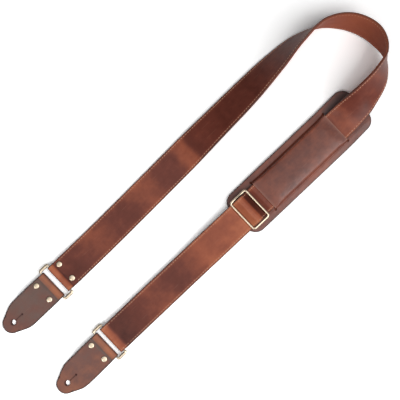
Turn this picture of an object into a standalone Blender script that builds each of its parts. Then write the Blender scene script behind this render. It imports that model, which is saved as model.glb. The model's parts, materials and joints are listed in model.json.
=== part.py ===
"""Leather guitar strap with a sliding shoulder pad, an adjusting slider and two riveted end tabs.

The strap lies on a table as a long U. Ring 1 and its end tab hang on the strap's first end. From there the
strap runs flat, stands up on its edge round the bend, and comes back through the two slots of the shoulder
pad. Past the pad it weaves through the slider, runs to ring 2, turns round its bar and comes back underneath
to the slider, where its tail is folded round the middle bar and riveted.

Units are metres, +Z is up and the table is z = 0. While the pieces are laid out, x = 0 is the slider's middle
bar, +X points along the right leg towards the bend, and y = 0 is midway between the two legs. At the end the
whole layout is moved so that the origin is the middle of its footprint.
"""
import math

import bmesh
import bpy
import numpy as np

# Fits
CLEARANCE = 0.0003
PLY_GAP = 0.0003

# Strap
STRAP_WIDTH = 0.038
FACE_THICKNESS = 0.0015
LINING_THICKNESS = 0.0012
LEG_OPENING = 0.0468
LEFT_LEG_REACH = 0.221
LOOP_LENGTH = 0.224
SETTLE_LENGTH = 0.050

# Folds round the wire bars
FOLD_LENGTH = 0.006
FOLD_NARROWING = 0.001
FOLD_WIDENING_LENGTH = 0.010

# Rings and slider
WIRE = 0.0022
WIRE_INSIDE_CORNER = 0.0011
RING_WINDOW = 0.0046
RING_SIDE_CLEARANCE = 0.0005
MIDDLE_BAR = 0.0020
SLIDER_SLACK = 0.0031

# Rivets
RIVET_HEAD = 0.0065
RIVET_DOME = 0.0015
RIVET_DOME_RIM = 0.00045
RIVET_BASE = 0.0010
RIVET_BASE_BEVEL = 0.0003
RIVET_SOCKET_SHARE = 0.7
RIVET_POST = 0.0026
RIVET_EDGE_DISTANCE = 0.0078
STRAP_RIVET_LEAD = 0.00105
STRAP_RIVET_TO_FLAP_END = 0.0077
TAB_RIVET_LEAD = 0.00575
TAB_RIVET_TO_FLAP_END = 0.007

# End tabs
TAB_LENGTH = 0.0787
TAB_THICKNESS = 0.0024
TAB_FOLD_THICKNESS = 0.0016
TAB_TAPER_LENGTH = 0.0282
TAB_SHOULDER_RADIUS = 0.022
TAB_TIP_RADIUS = 0.0114
TAB_TIP_FLAT = 0.002
BUTTON_HOLE = 0.0068
BUTTON_HOLE_TO_TIP = 0.0137
SLIT_LENGTH = 0.0145
SLIT_WIDTH = 0.0006
SLIT_PUNCH_LIP = 0.0006

# Shoulder pad
PAD_LENGTH = 0.2005
PAD_SIDE_MARGIN = 0.010
PAD_CORNER = 0.014
PAD_BASE_THICKNESS = 0.0014
PAD_COVER_THICKNESS = 0.0014
FOAM_THICKNESS = 0.0030
FOAM_SIDE_REACH = 0.0010
FOAM_TO_SLOT = 0.0024
FOAM_CORNER = 0.0020
PAD_SLOT_INSET = 0.0406
SLOT_WIDTH = 0.0012
SLOT_SIDE_REACH = 0.0030
SLOT_PUNCH_LIP = 0.0006
PAD_RAMP = 0.0055
PAD_RAMP_WALL = 0.0010
PAD_RAMP_OPENING = 0.016

# Tail and adjusting loop
SLOT_LEAD = 0.005
PAD_RISE_LENGTH = 0.0075
TAIL_PAD_LEAD = 0.010
TAIL_CLIMB_LENGTH = 0.010
TAIL_RIVET_TO_END = 0.008
TAIL_JOIN = 0.007
TOP_RUN_GAP = 0.0008
SAG_LENGTH = 0.058
RING_RISE_LENGTH = 0.036
SEAM_INSET = 0.0145
SEAM_GAP = 0.0006

# The strap's way from the left leg round the bend, chosen by eye so that both its edges keep their length: units
# past the pad's far slot, share of the gap between the legs, roll in degrees (0 flat, 90 on edge), lift in units
ROUTE_UNIT = 0.010
ROUTE = (
    (-17.2, 1.04, 0, 0.0),
    (-11.0, 1.06, 20, 0.0),
    (-5.0, 1.08, 31, 0.0),
    (0.0, 1.105, 49, 0.02),
    (3.8, 1.11, 69, 0.10),
    (7.3, 1.03, 92, 0.05),
    (9.8, 0.78, 107, 0.02),
    (10.6, 0.48, 104, 0.20),
    (9.9, 0.24, 83, 0.57),
    (7.7, 0.09, 56, 0.80),
    (4.6, 0.02, 35, 0.60),
    (1.7, 0.00, 9, 0.12),
    (0.4, 0.00, 0, 0.0),
)

# Spacing of the cross rows, and sides of round pieces
ROUTE_STEP = 0.0065
RUN_STEP = 0.012
BEND_STEP = 0.003
FOLD_STEP = 0.001
ARC_STEP = math.radians(12.0)
RAMP_ROWS = 8
OPENING_ROWS = np.array((0.0, 0.12, 0.3, 0.5, 0.75, 1.0))
DOME_ANGLES = np.radians((54.0, 27.0, 0.0))
ROUND_SIDES = 16
WIRE_SIDES = 10
SHARP_ANGLE = math.radians(40.0)

# Colour (linear), roughness and metallic value of each finish
LOOKS = {
    "oiled_leather": ((0.125, 0.040, 0.026), 0.45, 0.0),
    "lining_leather": ((0.200, 0.075, 0.045), 0.60, 0.0),
    "tab_leather": ((0.150, 0.075, 0.060), 0.55, 0.0),
    "foam": ((0.080, 0.080, 0.085), 0.95, 0.0),
    "antique_brass": ((0.560, 0.430, 0.240), 0.30, 1.0),
}

# Heights and places that follow from the sizes above
STRAP_THICKNESS = FACE_THICKNESS + PLY_GAP + LINING_THICKNESS
FACE_SIDE = FACE_THICKNESS + PLY_GAP / 2
LINING_SIDE = LINING_THICKNESS + PLY_GAP / 2
HALF_WIDTH = STRAP_WIDTH / 2
FOLD_HALF_WIDTH = HALF_WIDTH - FOLD_NARROWING
PAD_WIDTH = STRAP_WIDTH + 2 * PAD_SIDE_MARGIN
LEG_GAP = HALF_WIDTH + LEG_OPENING + PAD_WIDTH / 2
RIGHT_Y = -LEG_GAP / 2
LEFT_Y = LEG_GAP / 2
WIRE_CORNER = WIRE / 2 + WIRE_INSIDE_CORNER
BAR_HOLLOW = WIRE / 2 + CLEARANCE
MIDDLE_HOLLOW = MIDDLE_BAR / 2 + CLEARANCE
UNDER_BAR = BAR_HOLLOW + FACE_SIDE
OVER_TAIL = MIDDLE_HOLLOW + FACE_THICKNESS + CLEARANCE + LINING_SIDE
ROUND_RING = BAR_HOLLOW + LINING_SIDE
RING_BAR_SPACING = RING_WINDOW + 2 * BAR_HOLLOW + TAB_FOLD_THICKNESS + STRAP_THICKNESS
RING_WIDTH = STRAP_WIDTH + 2 * RING_SIDE_CLEARANCE + WIRE
RING_HEIGHT = STRAP_THICKNESS + BAR_HOLLOW
SLIDER_BAR_SPACING = OVER_TAIL + UNDER_BAR + SLIDER_SLACK
RIVET_SPACING = STRAP_WIDTH - 2 * RIVET_EDGE_DISTANCE
RIVET_SOCKET_DEPTH = RIVET_SOCKET_SHARE * RIVET_BASE
END_RIVET_ROW = FOLD_LENGTH + RIVET_HEAD / 2 + STRAP_RIVET_LEAD
END_FLAP = END_RIVET_ROW + STRAP_RIVET_TO_FLAP_END
TAB_RIVET_ROW = FOLD_LENGTH + RIVET_HEAD / 2 + TAB_RIVET_LEAD
TAB_FLAP = TAB_RIVET_ROW + TAB_RIVET_TO_FLAP_END
TAB_SHOULDER = TAB_LENGTH - TAB_TAPER_LENGTH
SLIT_PUNCH = SLIT_WIDTH + 2 * SLIT_PUNCH_LIP
SLOT_PUNCH = SLOT_WIDTH + 2 * SLOT_PUNCH_LIP
PAD_FLOOR = PAD_BASE_THICKNESS + CLEARANCE
PAD_FLAP_TOP = PAD_FLOOR + PAD_COVER_THICKNESS
TUNNEL_FLOOR = PAD_FLOOR + FOAM_THICKNESS + CLEARANCE
TUNNEL_ROOF = TUNNEL_FLOOR + STRAP_THICKNESS + CLEARANCE
NEAR_SLOT_X = SLIDER_BAR_SPACING + PAD_RISE_LENGTH + SLOT_LEAD
PAD_START_X = NEAR_SLOT_X - PAD_SLOT_INSET
PAD_END_X = PAD_START_X + PAD_LENGTH
FAR_SLOT_X = PAD_END_X - PAD_SLOT_INSET
SLOT_HALF_LENGTH = HALF_WIDTH + SLOT_SIDE_REACH
SEAM_X = FAR_SLOT_X - SEAM_INSET
TAIL_RIVET_ROW = TAIL_PAD_LEAD + TAIL_CLIMB_LENGTH + RIVET_HEAD / 2 + CLEARANCE - PAD_START_X
TAIL_FLAP = TAIL_RIVET_ROW + TAIL_RIVET_TO_END
TAIL_START = TAIL_FLAP + TAIL_JOIN
TAIL_PLIES = 2 * FACE_THICKNESS + PLY_GAP
TAIL_RIVET_PLY_TOP = RIVET_BASE + CLEARANCE + FACE_THICKNESS
TAIL_ON_PAD_TOP = PAD_FLAP_TOP + CLEARANCE + TAIL_PLIES
TAIL_RIVET_TOP = TAIL_RIVET_PLY_TOP + PLY_GAP + FACE_THICKNESS + CLEARANCE + RIVET_DOME
SLIDER_HEIGHT = max(TAIL_ON_PAD_TOP, TAIL_RIVET_TOP) + CLEARANCE + STRAP_THICKNESS + BAR_HOLLOW
CUT_REACH = 2 * SLIDER_HEIGHT
RING_1_BAR_X = -LEFT_LEG_REACH
TAB_1_BAR_X = RING_1_BAR_X - RING_BAR_SPACING
RING_2_BAR_X = -LOOP_LENGTH
TAB_2_BAR_X = RING_2_BAR_X - RING_BAR_SPACING


def smooth(share):
    """Ease from 0 to 1 with level ends."""
    share = np.clip(share, 0.0, 1.0)
    return share * share * (3.0 - 2.0 * share)


def spaced(start, end, step):
    """Evenly spaced values from start to end, about a step apart."""
    return np.linspace(start, end, max(2, int(math.ceil(abs(end - start) / step)) + 1))


def arc(centre, radius, start, end):
    """Points on a circle in a plane, between two angles in radians."""
    angles = spaced(start, end, ARC_STEP)
    return np.column_stack((centre[0] + radius * np.cos(angles), centre[1] + radius * np.sin(angles)))


def right_normals(path):
    """Unit normals of a plane path, on the right-hand side of the way it runs."""
    run = np.gradient(path, axis=0)
    run /= np.linalg.norm(run, axis=1)[:, None]
    return np.column_stack((run[:, 1], -run[:, 0]))


def tidy_path(path):
    """Leave out points that repeat the one before."""
    steps = np.linalg.norm(np.diff(path, axis=0), axis=1)
    return path[np.concatenate(([True], steps > CLEARANCE / 3))]


def slab(low, high):
    """Closed body between two grids of points, with the same diagonals above and below."""
    rows, columns = low.shape[:2]
    below = np.arange(rows * columns).reshape(rows, columns)
    above = below + rows * columns

    def skin(grid, upward):
        a, b, c, d = grid[:-1, :-1], grid[1:, :-1], grid[1:, 1:], grid[:-1, 1:]
        triples = ((a, b, c), (a, c, d)) if upward else ((a, c, b), (a, d, c))
        return [np.stack(triple, axis=-1).reshape(-1, 3) for triple in triples]

    def wall(lower, upper):
        return np.column_stack((lower[:-1], lower[1:], upper[1:], upper[:-1]))

    faces = [face for part in skin(above, True) + skin(below, False) for face in part.tolist()]
    for edge in (np.s_[:, 0], np.s_[:, -1], np.s_[0, :], np.s_[-1, :]):
        faces += wall(below[edge], above[edge]).tolist()
    return np.concatenate((low.reshape(-1, 3), high.reshape(-1, 3))), faces


def ribbon(centres, across, normals, half_widths, inner, outer, cells):
    """Band of leather: a strip of the given half widths, between two offsets along its normals."""
    shares = np.linspace(-1.0, 1.0, cells + 1)
    spread = (half_widths[:, None] * shares)[:, :, None] * across[:, None, :]
    low = centres[:, None, :] + spread + (inner * normals.T).T[:, None, :]
    high = centres[:, None, :] + spread + (outer * normals.T).T[:, None, :]
    return slab(low, high)


def level_ribbon(path, normals, y, half_widths, inner, outer):
    """Band that runs in the XZ plane and is straight across."""
    centres = np.column_stack((path[:, 0], np.full(len(path), y), path[:, 1]))
    normals = np.column_stack((normals[:, 0], np.zeros(len(path)), normals[:, 1]))
    across = np.tile((0.0, 1.0, 0.0), (len(path), 1))
    return ribbon(centres, across, normals, half_widths, inner, outer, 1)


def prism(outline, low, high):
    """Upright body with a plane outline."""
    count = len(outline)
    bottom = np.column_stack((outline, np.full(count, low)))
    top = np.column_stack((outline, np.full(count, high)))
    sides = [[i, (i + 1) % count, count + (i + 1) % count, count + i] for i in range(count)]
    ends = [list(range(count))[::-1], list(range(count, 2 * count))]
    return np.concatenate((bottom, top)), sides + ends


def turned(profile, x, y):
    """Body turned about an upright axis; the profile runs from the axis, round the outside, to the axis."""
    profile = np.array(profile)
    angles = np.arange(ROUND_SIDES) * 2.0 * math.pi / ROUND_SIDES
    ring = profile[1:-1]
    points = np.stack((
        x + ring[:, :1] * np.cos(angles),
        y + ring[:, :1] * np.sin(angles),
        np.repeat(ring[:, 1:], ROUND_SIDES, axis=1),
    ), axis=-1).reshape(-1, 3)
    poles = np.array(((x, y, profile[0, 1]), (x, y, profile[-1, 1])))
    first, last = len(points), len(points) + 1
    index = np.arange(len(points)).reshape(len(ring), ROUND_SIDES)
    following = np.roll(index, -1, axis=1)
    faces = np.stack((index[:-1], index[1:], following[1:], following[:-1]), axis=-1).reshape(-1, 4).tolist()
    faces += [[first, a, b] for a, b in zip(index[0], following[0])]
    faces += [[last, b, a] for a, b in zip(index[-1], following[-1])]
    return np.concatenate((points, poles)), faces


def wire_frame(x, y, z, length, width):
    """Closed rectangle of round wire with bent corners, measured along the wire's middle."""
    corners = ((1, 1, 0.0), (-1, 1, 0.5), (-1, -1, 1.0), (1, -1, 1.5))
    centres, headings = [], []
    for sign_x, sign_y, turn in corners:
        angles = spaced(turn * math.pi, (turn + 0.5) * math.pi, ARC_STEP)
        middle_x = x + sign_x * (length / 2 - WIRE_CORNER)
        middle_y = y + sign_y * (width / 2 - WIRE_CORNER)
        centres += [(middle_x, middle_y)] * len(angles)
        headings += list(angles)
    centres, headings = np.array(centres), np.array(headings)
    around = np.arange(WIRE_SIDES) * 2.0 * math.pi / WIRE_SIDES
    reach = WIRE_CORNER + WIRE / 2 * np.cos(around)
    points = np.stack((
        centres[:, :1] + np.cos(headings)[:, None] * reach,
        centres[:, 1:] + np.sin(headings)[:, None] * reach,
        np.tile(z + WIRE / 2 * np.sin(around), (len(headings), 1)),
    ), axis=-1)
    index = np.arange(len(headings) * WIRE_SIDES).reshape(len(headings), WIRE_SIDES)
    ahead = np.roll(index, -1, axis=0)
    faces = np.stack((index, ahead, np.roll(ahead, -1, axis=1), np.roll(index, -1, axis=1)), axis=-1)
    return points.reshape(-1, 3), faces.reshape(-1, 4).tolist()


def circle(x, y, radius):
    """Plane outline of a round hole."""
    angles = np.arange(ROUND_SIDES) * 2.0 * math.pi / ROUND_SIDES
    return np.column_stack((x + radius * np.cos(angles), y + radius * np.sin(angles)))


def keyhole(first, first_radius, second, second_radius, width):
    """Outline of a slit between two round punches."""
    first, second = np.array(first), np.array(second)
    heading = math.atan2(second[1] - first[1], second[0] - first[0])
    near = math.asin(width / 2 / first_radius)
    far = math.asin(width / 2 / second_radius)
    start = arc(first, first_radius, heading + near, heading + 2 * math.pi - near)
    end = arc(second, second_radius, heading - math.pi + far, heading + math.pi - far)
    return np.concatenate((start, end))


def finish(name, look):
    """One Principled material for one piece."""
    colour, roughness, metallic = LOOKS[look]
    material = bpy.data.materials.new(name)
    material.use_nodes = True
    shader = material.node_tree.nodes["Principled BSDF"]
    shader.inputs["Base Color"].default_value = (*colour, 1.0)
    shader.inputs["Roughness"].default_value = roughness
    shader.inputs["Metallic"].default_value = metallic
    return material


def empty(name, place, parent=None):
    """Axis or slide that pieces hang on, at a place in the layout."""
    axis = bpy.data.objects.new(name, None)
    bpy.context.collection.objects.link(axis)
    axis["place"] = place
    origin = parent["place"] if parent else (0.0, 0.0, 0.0)
    axis.location = np.subtract(place, origin)
    axis.parent = parent
    return axis


def solid(name, geometry, parent):
    """Mesh object whose origin is its parent's axis."""
    vertices, faces = geometry
    mesh = bpy.data.meshes.new(name)
    mesh.from_pydata((vertices - np.array(parent["place"])).tolist(), [], faces)
    shape = bmesh.new()
    shape.from_mesh(mesh)
    bmesh.ops.recalc_face_normals(shape, faces=shape.faces)
    shape.to_mesh(mesh)
    shape.free()
    piece = bpy.data.objects.new(name, mesh)
    bpy.context.collection.objects.link(piece)
    piece.parent = parent
    return piece


def add(name, geometry, look, parent, round_piece=False):
    """One sub-part with its own material."""
    piece = solid(name, geometry, parent)
    piece.data.materials.append(finish(name, look))
    if round_piece:
        piece.data.shade_smooth()
        piece.data.set_sharp_from_angle(angle=SHARP_ANGLE)
    return piece


def combine(piece, name, geometry, operation):
    """Cut a shape out of a piece, or join it to the piece."""
    tool = solid(name, geometry, piece.parent)
    tool.hide_render = True
    tool.display_type = "WIRE"
    modifier = piece.modifiers.new(name, "BOOLEAN")
    modifier.operation = operation
    modifier.solver = "EXACT"
    modifier.object = tool


def drill_rivets(piece, x, y):
    """Two holes in a row across the strap, for the rivets' posts."""
    for side, offset in (("left", RIVET_SPACING / 2), ("right", -RIVET_SPACING / 2)):
        outline = circle(x, y + offset, RIVET_POST / 2 + CLEARANCE)
        combine(piece, f"{piece.name}_{side}_drill", prism(outline, -CUT_REACH, CUT_REACH), "DIFFERENCE")


def rivet_pair(name, x, y, under, over, parent):
    """Two rivets that hold the leather between two heights: a domed cap with its post, and a base."""
    head, post = RIVET_HEAD / 2, RIVET_POST / 2
    seat, foot = over + CLEARANCE, under - CLEARANCE
    bore = post + CLEARANCE
    post_end = foot - RIVET_SOCKET_DEPTH + CLEARANCE
    dome_height = seat + RIVET_DOME_RIM + (RIVET_DOME - RIVET_DOME_RIM) * np.sin(DOME_ANGLES)
    dome = list(zip(head * np.cos(DOME_ANGLES), dome_height))
    cap = [(0.0, seat + RIVET_DOME), *dome, (head, seat), (post, seat), (post, post_end), (0.0, post_end)]
    base = [
        (0.0, foot - RIVET_SOCKET_DEPTH),
        (bore, foot - RIVET_SOCKET_DEPTH),
        (bore, foot),
        (head, foot),
        (head, foot - RIVET_BASE + RIVET_BASE_BEVEL),
        (head - RIVET_BASE_BEVEL, foot - RIVET_BASE),
        (0.0, foot - RIVET_BASE),
    ]
    for side, offset in (("left", RIVET_SPACING / 2), ("right", -RIVET_SPACING / 2)):
        add(f"{name}_{side}_rivet_cap", turned(cap, x, y + offset), "antique_brass", parent, True)
        add(f"{name}_{side}_rivet_base", turned(base, x, y + offset), "antique_brass", parent, True)


def fold_hollow(distance, hollow):
    """Height of the leather's inner face over the middle plane, past a bar that it is folded round."""
    return PLY_GAP / 2 + (hollow - PLY_GAP / 2) * (1.0 - smooth(distance / FOLD_LENGTH))


def fold_path(flap):
    """Inner face of leather folded round a ring's bar: the flap below, the turn, and the start of the top."""
    below = spaced(flap, FOLD_LENGTH, RUN_STEP)
    near = spaced(FOLD_LENGTH, 0.0, FOLD_STEP)
    reach = np.concatenate((below, near[1:]))
    flap_side = np.column_stack((reach, -fold_hollow(reach, BAR_HOLLOW)))
    turn = arc((0.0, 0.0), BAR_HOLLOW, 1.5 * math.pi, 0.5 * math.pi)[1:-1]
    top_side = np.column_stack((near[::-1], fold_hollow(near[::-1], BAR_HOLLOW)))
    return flap_side, turn, top_side


def fold_half_width(distance):
    """Half width of a band that is drawn in where it goes through a ring."""
    return FOLD_HALF_WIDTH + FOLD_NARROWING * smooth(distance / FOLD_WIDENING_LENGTH)


def through_points(rows, step):
    """Smooth curve through rows of values, sampled about a step apart along its plan."""
    rows = np.array(rows, dtype=float)
    chords = np.linalg.norm(np.diff(rows[:, :2], axis=0), axis=1)
    knots = np.concatenate(([0.0], np.cumsum(chords)))
    slopes = np.gradient(rows, knots, axis=0)
    slopes[[0, -1], 1:] = 0.0
    at = spaced(0.0, knots[-1], step)
    span = np.clip(np.searchsorted(knots, at, side="right") - 1, 0, len(chords) - 1)
    size = chords[span]
    share = ((at - knots[span]) / size)[:, None]
    start_pull = (slopes[span].T * size).T
    end_pull = (slopes[span + 1].T * size).T
    return (
        (2 * share**3 - 3 * share**2 + 1) * rows[span]
        + (share**3 - 2 * share**2 + share) * start_pull
        + (3 * share**2 - 2 * share**3) * rows[span + 1]
        + (share**3 - share**2) * end_pull
    )


def strap_route():
    """Middle, across direction and face normal of the strap, from the fold at ring 1 to the seam in the pad."""
    start = RING_1_BAR_X + FOLD_LENGTH
    rows = [(start, LEFT_Y, 0.0, 0.0)]
    for past, share, roll, lift in ROUTE:
        rows.append((FAR_SLOT_X + past * ROUTE_UNIT, RIGHT_Y + share * LEG_GAP, roll, lift * ROUTE_UNIT))
    rows += [(SEAM_X, RIGHT_Y, 0.0, 0.0)]
    x, y, roll, lift = through_points(rows, ROUTE_STEP).T
    roll = np.radians(np.maximum(roll, 0.0))
    coming_back = np.arange(len(x)) > np.argmax(x)
    on_pad = np.where(coming_back, 1.0 - smooth((x - FAR_SLOT_X) / (x.max() - FAR_SLOT_X)), 0.0)
    low_edge = on_pad * TUNNEL_FLOOR + np.maximum(lift, 0.0)
    side = np.where(roll < math.pi / 2, LINING_SIDE, FACE_SIDE)
    z = low_edge + HALF_WIDTH * np.sin(roll) + side * np.abs(np.cos(roll))
    settled = smooth((x - RING_1_BAR_X - END_FLAP) / SETTLE_LENGTH)
    z = np.where(coming_back, z, z + (RING_HEIGHT - LINING_SIDE) * (1.0 - settled))
    centres = np.column_stack((x, y, z))
    run = np.gradient(centres, axis=0)
    run /= np.linalg.norm(run, axis=1)[:, None]
    up = np.array((0.0, 0.0, 1.0))
    inward = np.cross(run, up)
    inward /= np.linalg.norm(inward, axis=1)[:, None]
    across = np.cos(roll)[:, None] * inward + np.sin(roll)[:, None] * up
    across -= np.sum(across * run, axis=1)[:, None] * run
    across /= np.linalg.norm(across, axis=1)[:, None]
    return centres, across, np.cross(across, run)


def build_strap(strap):
    """Shoulder strap: the face turned under at ring 1, and the lining that starts behind its flap."""
    centres, across, normals = strap_route()
    distance = np.hypot(centres[:, 0] - RING_1_BAR_X, centres[:, 1] - LEFT_Y)
    widths = fold_half_width(distance)
    flap_side, turn, top_side = fold_path(END_FLAP)
    fold = np.concatenate((flap_side, turn, top_side[:-1]))
    fold_normals = -right_normals(fold)
    fold_centres = np.column_stack((
        RING_1_BAR_X + fold[:, 0],
        np.full(len(fold), LEFT_Y),
        RING_HEIGHT + fold[:, 1],
    ))
    fold_normals = np.column_stack((fold_normals[:, 0], np.zeros(len(fold)), fold_normals[:, 1]))
    face = add("strap_face", ribbon(
        np.concatenate((fold_centres, centres + PLY_GAP / 2 * normals)),
        np.concatenate((np.tile((0.0, -1.0, 0.0), (len(fold), 1)), across)),
        np.concatenate((fold_normals, normals)),
        np.concatenate((fold_half_width(fold[:, 0]), widths)),
        0.0, FACE_THICKNESS, 2,
    ), "oiled_leather", strap)
    behind = distance > END_FLAP + SEAM_GAP
    add("strap_lining", ribbon(
        centres[behind], across[behind], normals[behind], widths[behind], -LINING_SIDE, -PLY_GAP / 2, 2,
    ), "lining_leather", strap)
    rivet_x = RING_1_BAR_X + END_RIVET_ROW
    drill_rivets(face, rivet_x, LEFT_Y)
    rivet_pair("strap_end", rivet_x, LEFT_Y, RING_HEIGHT - FACE_SIDE, RING_HEIGHT + FACE_SIDE, strap)


def build_ring(name, bar_x, y, axis):
    """Rectangular wire ring between a strap bar and a tab bar."""
    frame = wire_frame(bar_x - RING_BAR_SPACING / 2, y, RING_HEIGHT, RING_BAR_SPACING, RING_WIDTH)
    add(name, frame, "antique_brass", axis, True)


def tab_half_width(distance):
    """Half outline of an end tab: parallel sides, round shoulders, straight tapers and a round tip."""
    tip_middle = TAB_LENGTH - TAB_TIP_RADIUS
    to_tip = math.atan2(HALF_WIDTH, tip_middle - TAB_SHOULDER)
    span = math.hypot(HALF_WIDTH, tip_middle - TAB_SHOULDER)
    taper = to_tip - math.asin(TAB_TIP_RADIUS / span)
    line = HALF_WIDTH - (distance - TAB_SHOULDER) * math.tan(taper)
    bend = TAB_SHOULDER_RADIUS * math.tan(taper / 2)
    past = np.clip(distance - TAB_SHOULDER + bend, 0.0, TAB_SHOULDER_RADIUS * math.sin(taper))
    shoulder = HALF_WIDTH - TAB_SHOULDER_RADIUS + np.sqrt(TAB_SHOULDER_RADIUS**2 - past**2)
    width = np.where(distance < TAB_SHOULDER + bend * math.cos(taper), shoulder, line)
    tip = np.sqrt(np.maximum(TAB_TIP_RADIUS**2 - np.maximum(distance - tip_middle, 0.0)**2, 0.0))
    on_tip = distance > tip_middle + TAB_TIP_RADIUS * math.sin(taper)
    return np.where(on_tip, tip, width) - HALF_WIDTH + fold_half_width(distance)


def build_tab(name, bar_x, y, axis):
    """End tab: one leather folded round the ring's bar, thinned at the fold, with its button hole and slit."""
    flap_side, turn, top_side = fold_path(TAB_FLAP)
    tip_middle = TAB_LENGTH - TAB_TIP_RADIUS
    tip_angles = spaced(math.pi / 2, math.asin(TAB_TIP_FLAT / 2 / TAB_TIP_RADIUS), ARC_STEP)
    leaf = np.concatenate((
        spaced(FOLD_LENGTH, TAB_FLAP, RUN_STEP),
        spaced(TAB_FLAP, TAB_SHOULDER, BEND_STEP)[1:],
        spaced(TAB_SHOULDER, tip_middle, BEND_STEP)[1:],
        tip_middle + TAB_TIP_RADIUS * np.cos(tip_angles)[1:],
    ))
    drop = smooth((leaf - TAB_FLAP) / (TAB_SHOULDER - TAB_FLAP))
    leaf_height = PLY_GAP / 2 - (RING_HEIGHT + PLY_GAP / 2) * drop
    path = np.concatenate((flap_side, turn, top_side[:-1], np.column_stack((leaf, leaf_height))))
    normals = -right_normals(path) * (-1.0, 1.0)
    on_leaf = np.arange(len(path)) >= len(flap_side) + len(turn)
    distance = np.where(on_leaf, path[:, 0], 0.0)
    thickness = TAB_FOLD_THICKNESS + (TAB_THICKNESS - TAB_FOLD_THICKNESS) * smooth(distance / FOLD_LENGTH)
    widths = np.where(on_leaf, tab_half_width(path[:, 0]), fold_half_width(path[:, 0]))
    placed = np.column_stack((bar_x - path[:, 0], RING_HEIGHT + path[:, 1]))
    tab = add(name, level_ribbon(placed, normals, y, widths, 0.0, thickness), "tab_leather", axis)
    hole = (bar_x - TAB_LENGTH + BUTTON_HOLE_TO_TIP, y)
    slit_end = (hole[0] + SLIT_LENGTH, y)
    outline = keyhole(hole, BUTTON_HOLE / 2, slit_end, SLIT_PUNCH / 2, SLIT_WIDTH)
    combine(tab, f"{name}_button_cut", prism(outline, -CUT_REACH, CUT_REACH), "DIFFERENCE")
    rivet_x = bar_x - TAB_RIVET_ROW
    drill_rivets(tab, rivet_x, y)
    under = RING_HEIGHT - PLY_GAP / 2 - TAB_FOLD_THICKNESS
    rivet_pair(name, rivet_x, y, under, RING_HEIGHT + PLY_GAP / 2 + TAB_THICKNESS, axis)


def rounded_rectangle(start_x, end_x, y, width, corner):
    """Plane outline with four round corners."""
    outline = [
        arc((middle_x, y + side * (width / 2 - corner)), corner, turn * math.pi, (turn + 0.5) * math.pi)
        for middle_x, side, turn in (
            (end_x - corner, 1, 0.0),
            (start_x + corner, 1, 0.5),
            (start_x + corner, -1, 1.0),
            (end_x - corner, -1, 1.5),
        )
    ]
    return np.concatenate(outline)


def pad_cover():
    """Cover with a flat margin and end flaps, raised over the strap between the slots.

    Across the pad its underside is flat over the strap and falls to the margin in an S-shaped ramp. At each
    slot the ramp is steep and ends at the slot's end, and it opens out to its full length away from the slot.
    """
    jump = SLOT_WIDTH / 4
    raised_start, raised_end = NEAR_SLOT_X + jump, FAR_SLOT_X - jump
    opening = raised_start + PAD_RAMP_OPENING * OPENING_ROWS
    closing = raised_end - PAD_RAMP_OPENING * OPENING_ROWS
    corner = PAD_CORNER * (1.0 - np.cos(spaced(0.0, math.pi / 2, ARC_STEP)))
    rows = np.concatenate((opening, closing, spaced(raised_start, raised_end, RUN_STEP)))
    x = np.concatenate((
        PAD_START_X + corner,
        (NEAR_SLOT_X - jump,),
        np.unique(np.clip(rows, raised_start, raised_end)),
        (FAR_SLOT_X + jump,),
        PAD_END_X - corner[::-1],
    ))
    to_end = np.minimum(np.minimum(x - PAD_START_X, PAD_END_X - x), PAD_CORNER)
    half = PAD_WIDTH / 2 - PAD_CORNER + np.sqrt(PAD_CORNER**2 - (PAD_CORNER - to_end)**2)
    raised = (x > NEAR_SLOT_X) & (x < FAR_SLOT_X)
    from_slot = np.minimum(x - NEAR_SLOT_X, FAR_SLOT_X - x)
    crest = HALF_WIDTH + CLEARANCE
    slot_foot = SLOT_HALF_LENGTH + SLOT_PUNCH / 2 - PAD_RAMP_WALL - CLEARANCE
    foot = slot_foot + (crest + PAD_RAMP - slot_foot) * smooth(from_slot / PAD_RAMP_OPENING)
    ramp = np.linspace(0.0, 1.0, RAMP_ROWS)
    ramp_y = crest + (foot - crest)[:, None] * ramp
    lift = np.where(raised, TUNNEL_ROOF - PAD_FLOOR, 0.0)[:, None] * (1.0 - smooth(ramp))
    z = np.column_stack((lift[:, :1], lift, np.zeros(len(x))))
    z = np.column_stack((z[:, :0:-1], z))
    along = np.repeat(x[:, None], z.shape[1], axis=1)

    def skin(ramp_reach, height):
        side = np.column_stack((np.zeros(len(x)), ramp_y + ramp_reach, np.full(len(x), PAD_WIDTH / 2)))
        y = np.column_stack((-side[:, :0:-1], side)) * (half / (PAD_WIDTH / 2))[:, None]
        return np.stack((along, RIGHT_Y + y, z + height), axis=-1)

    return slab(skin(0.0, PAD_FLOOR), skin(PAD_RAMP_WALL, PAD_FLAP_TOP))


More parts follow.
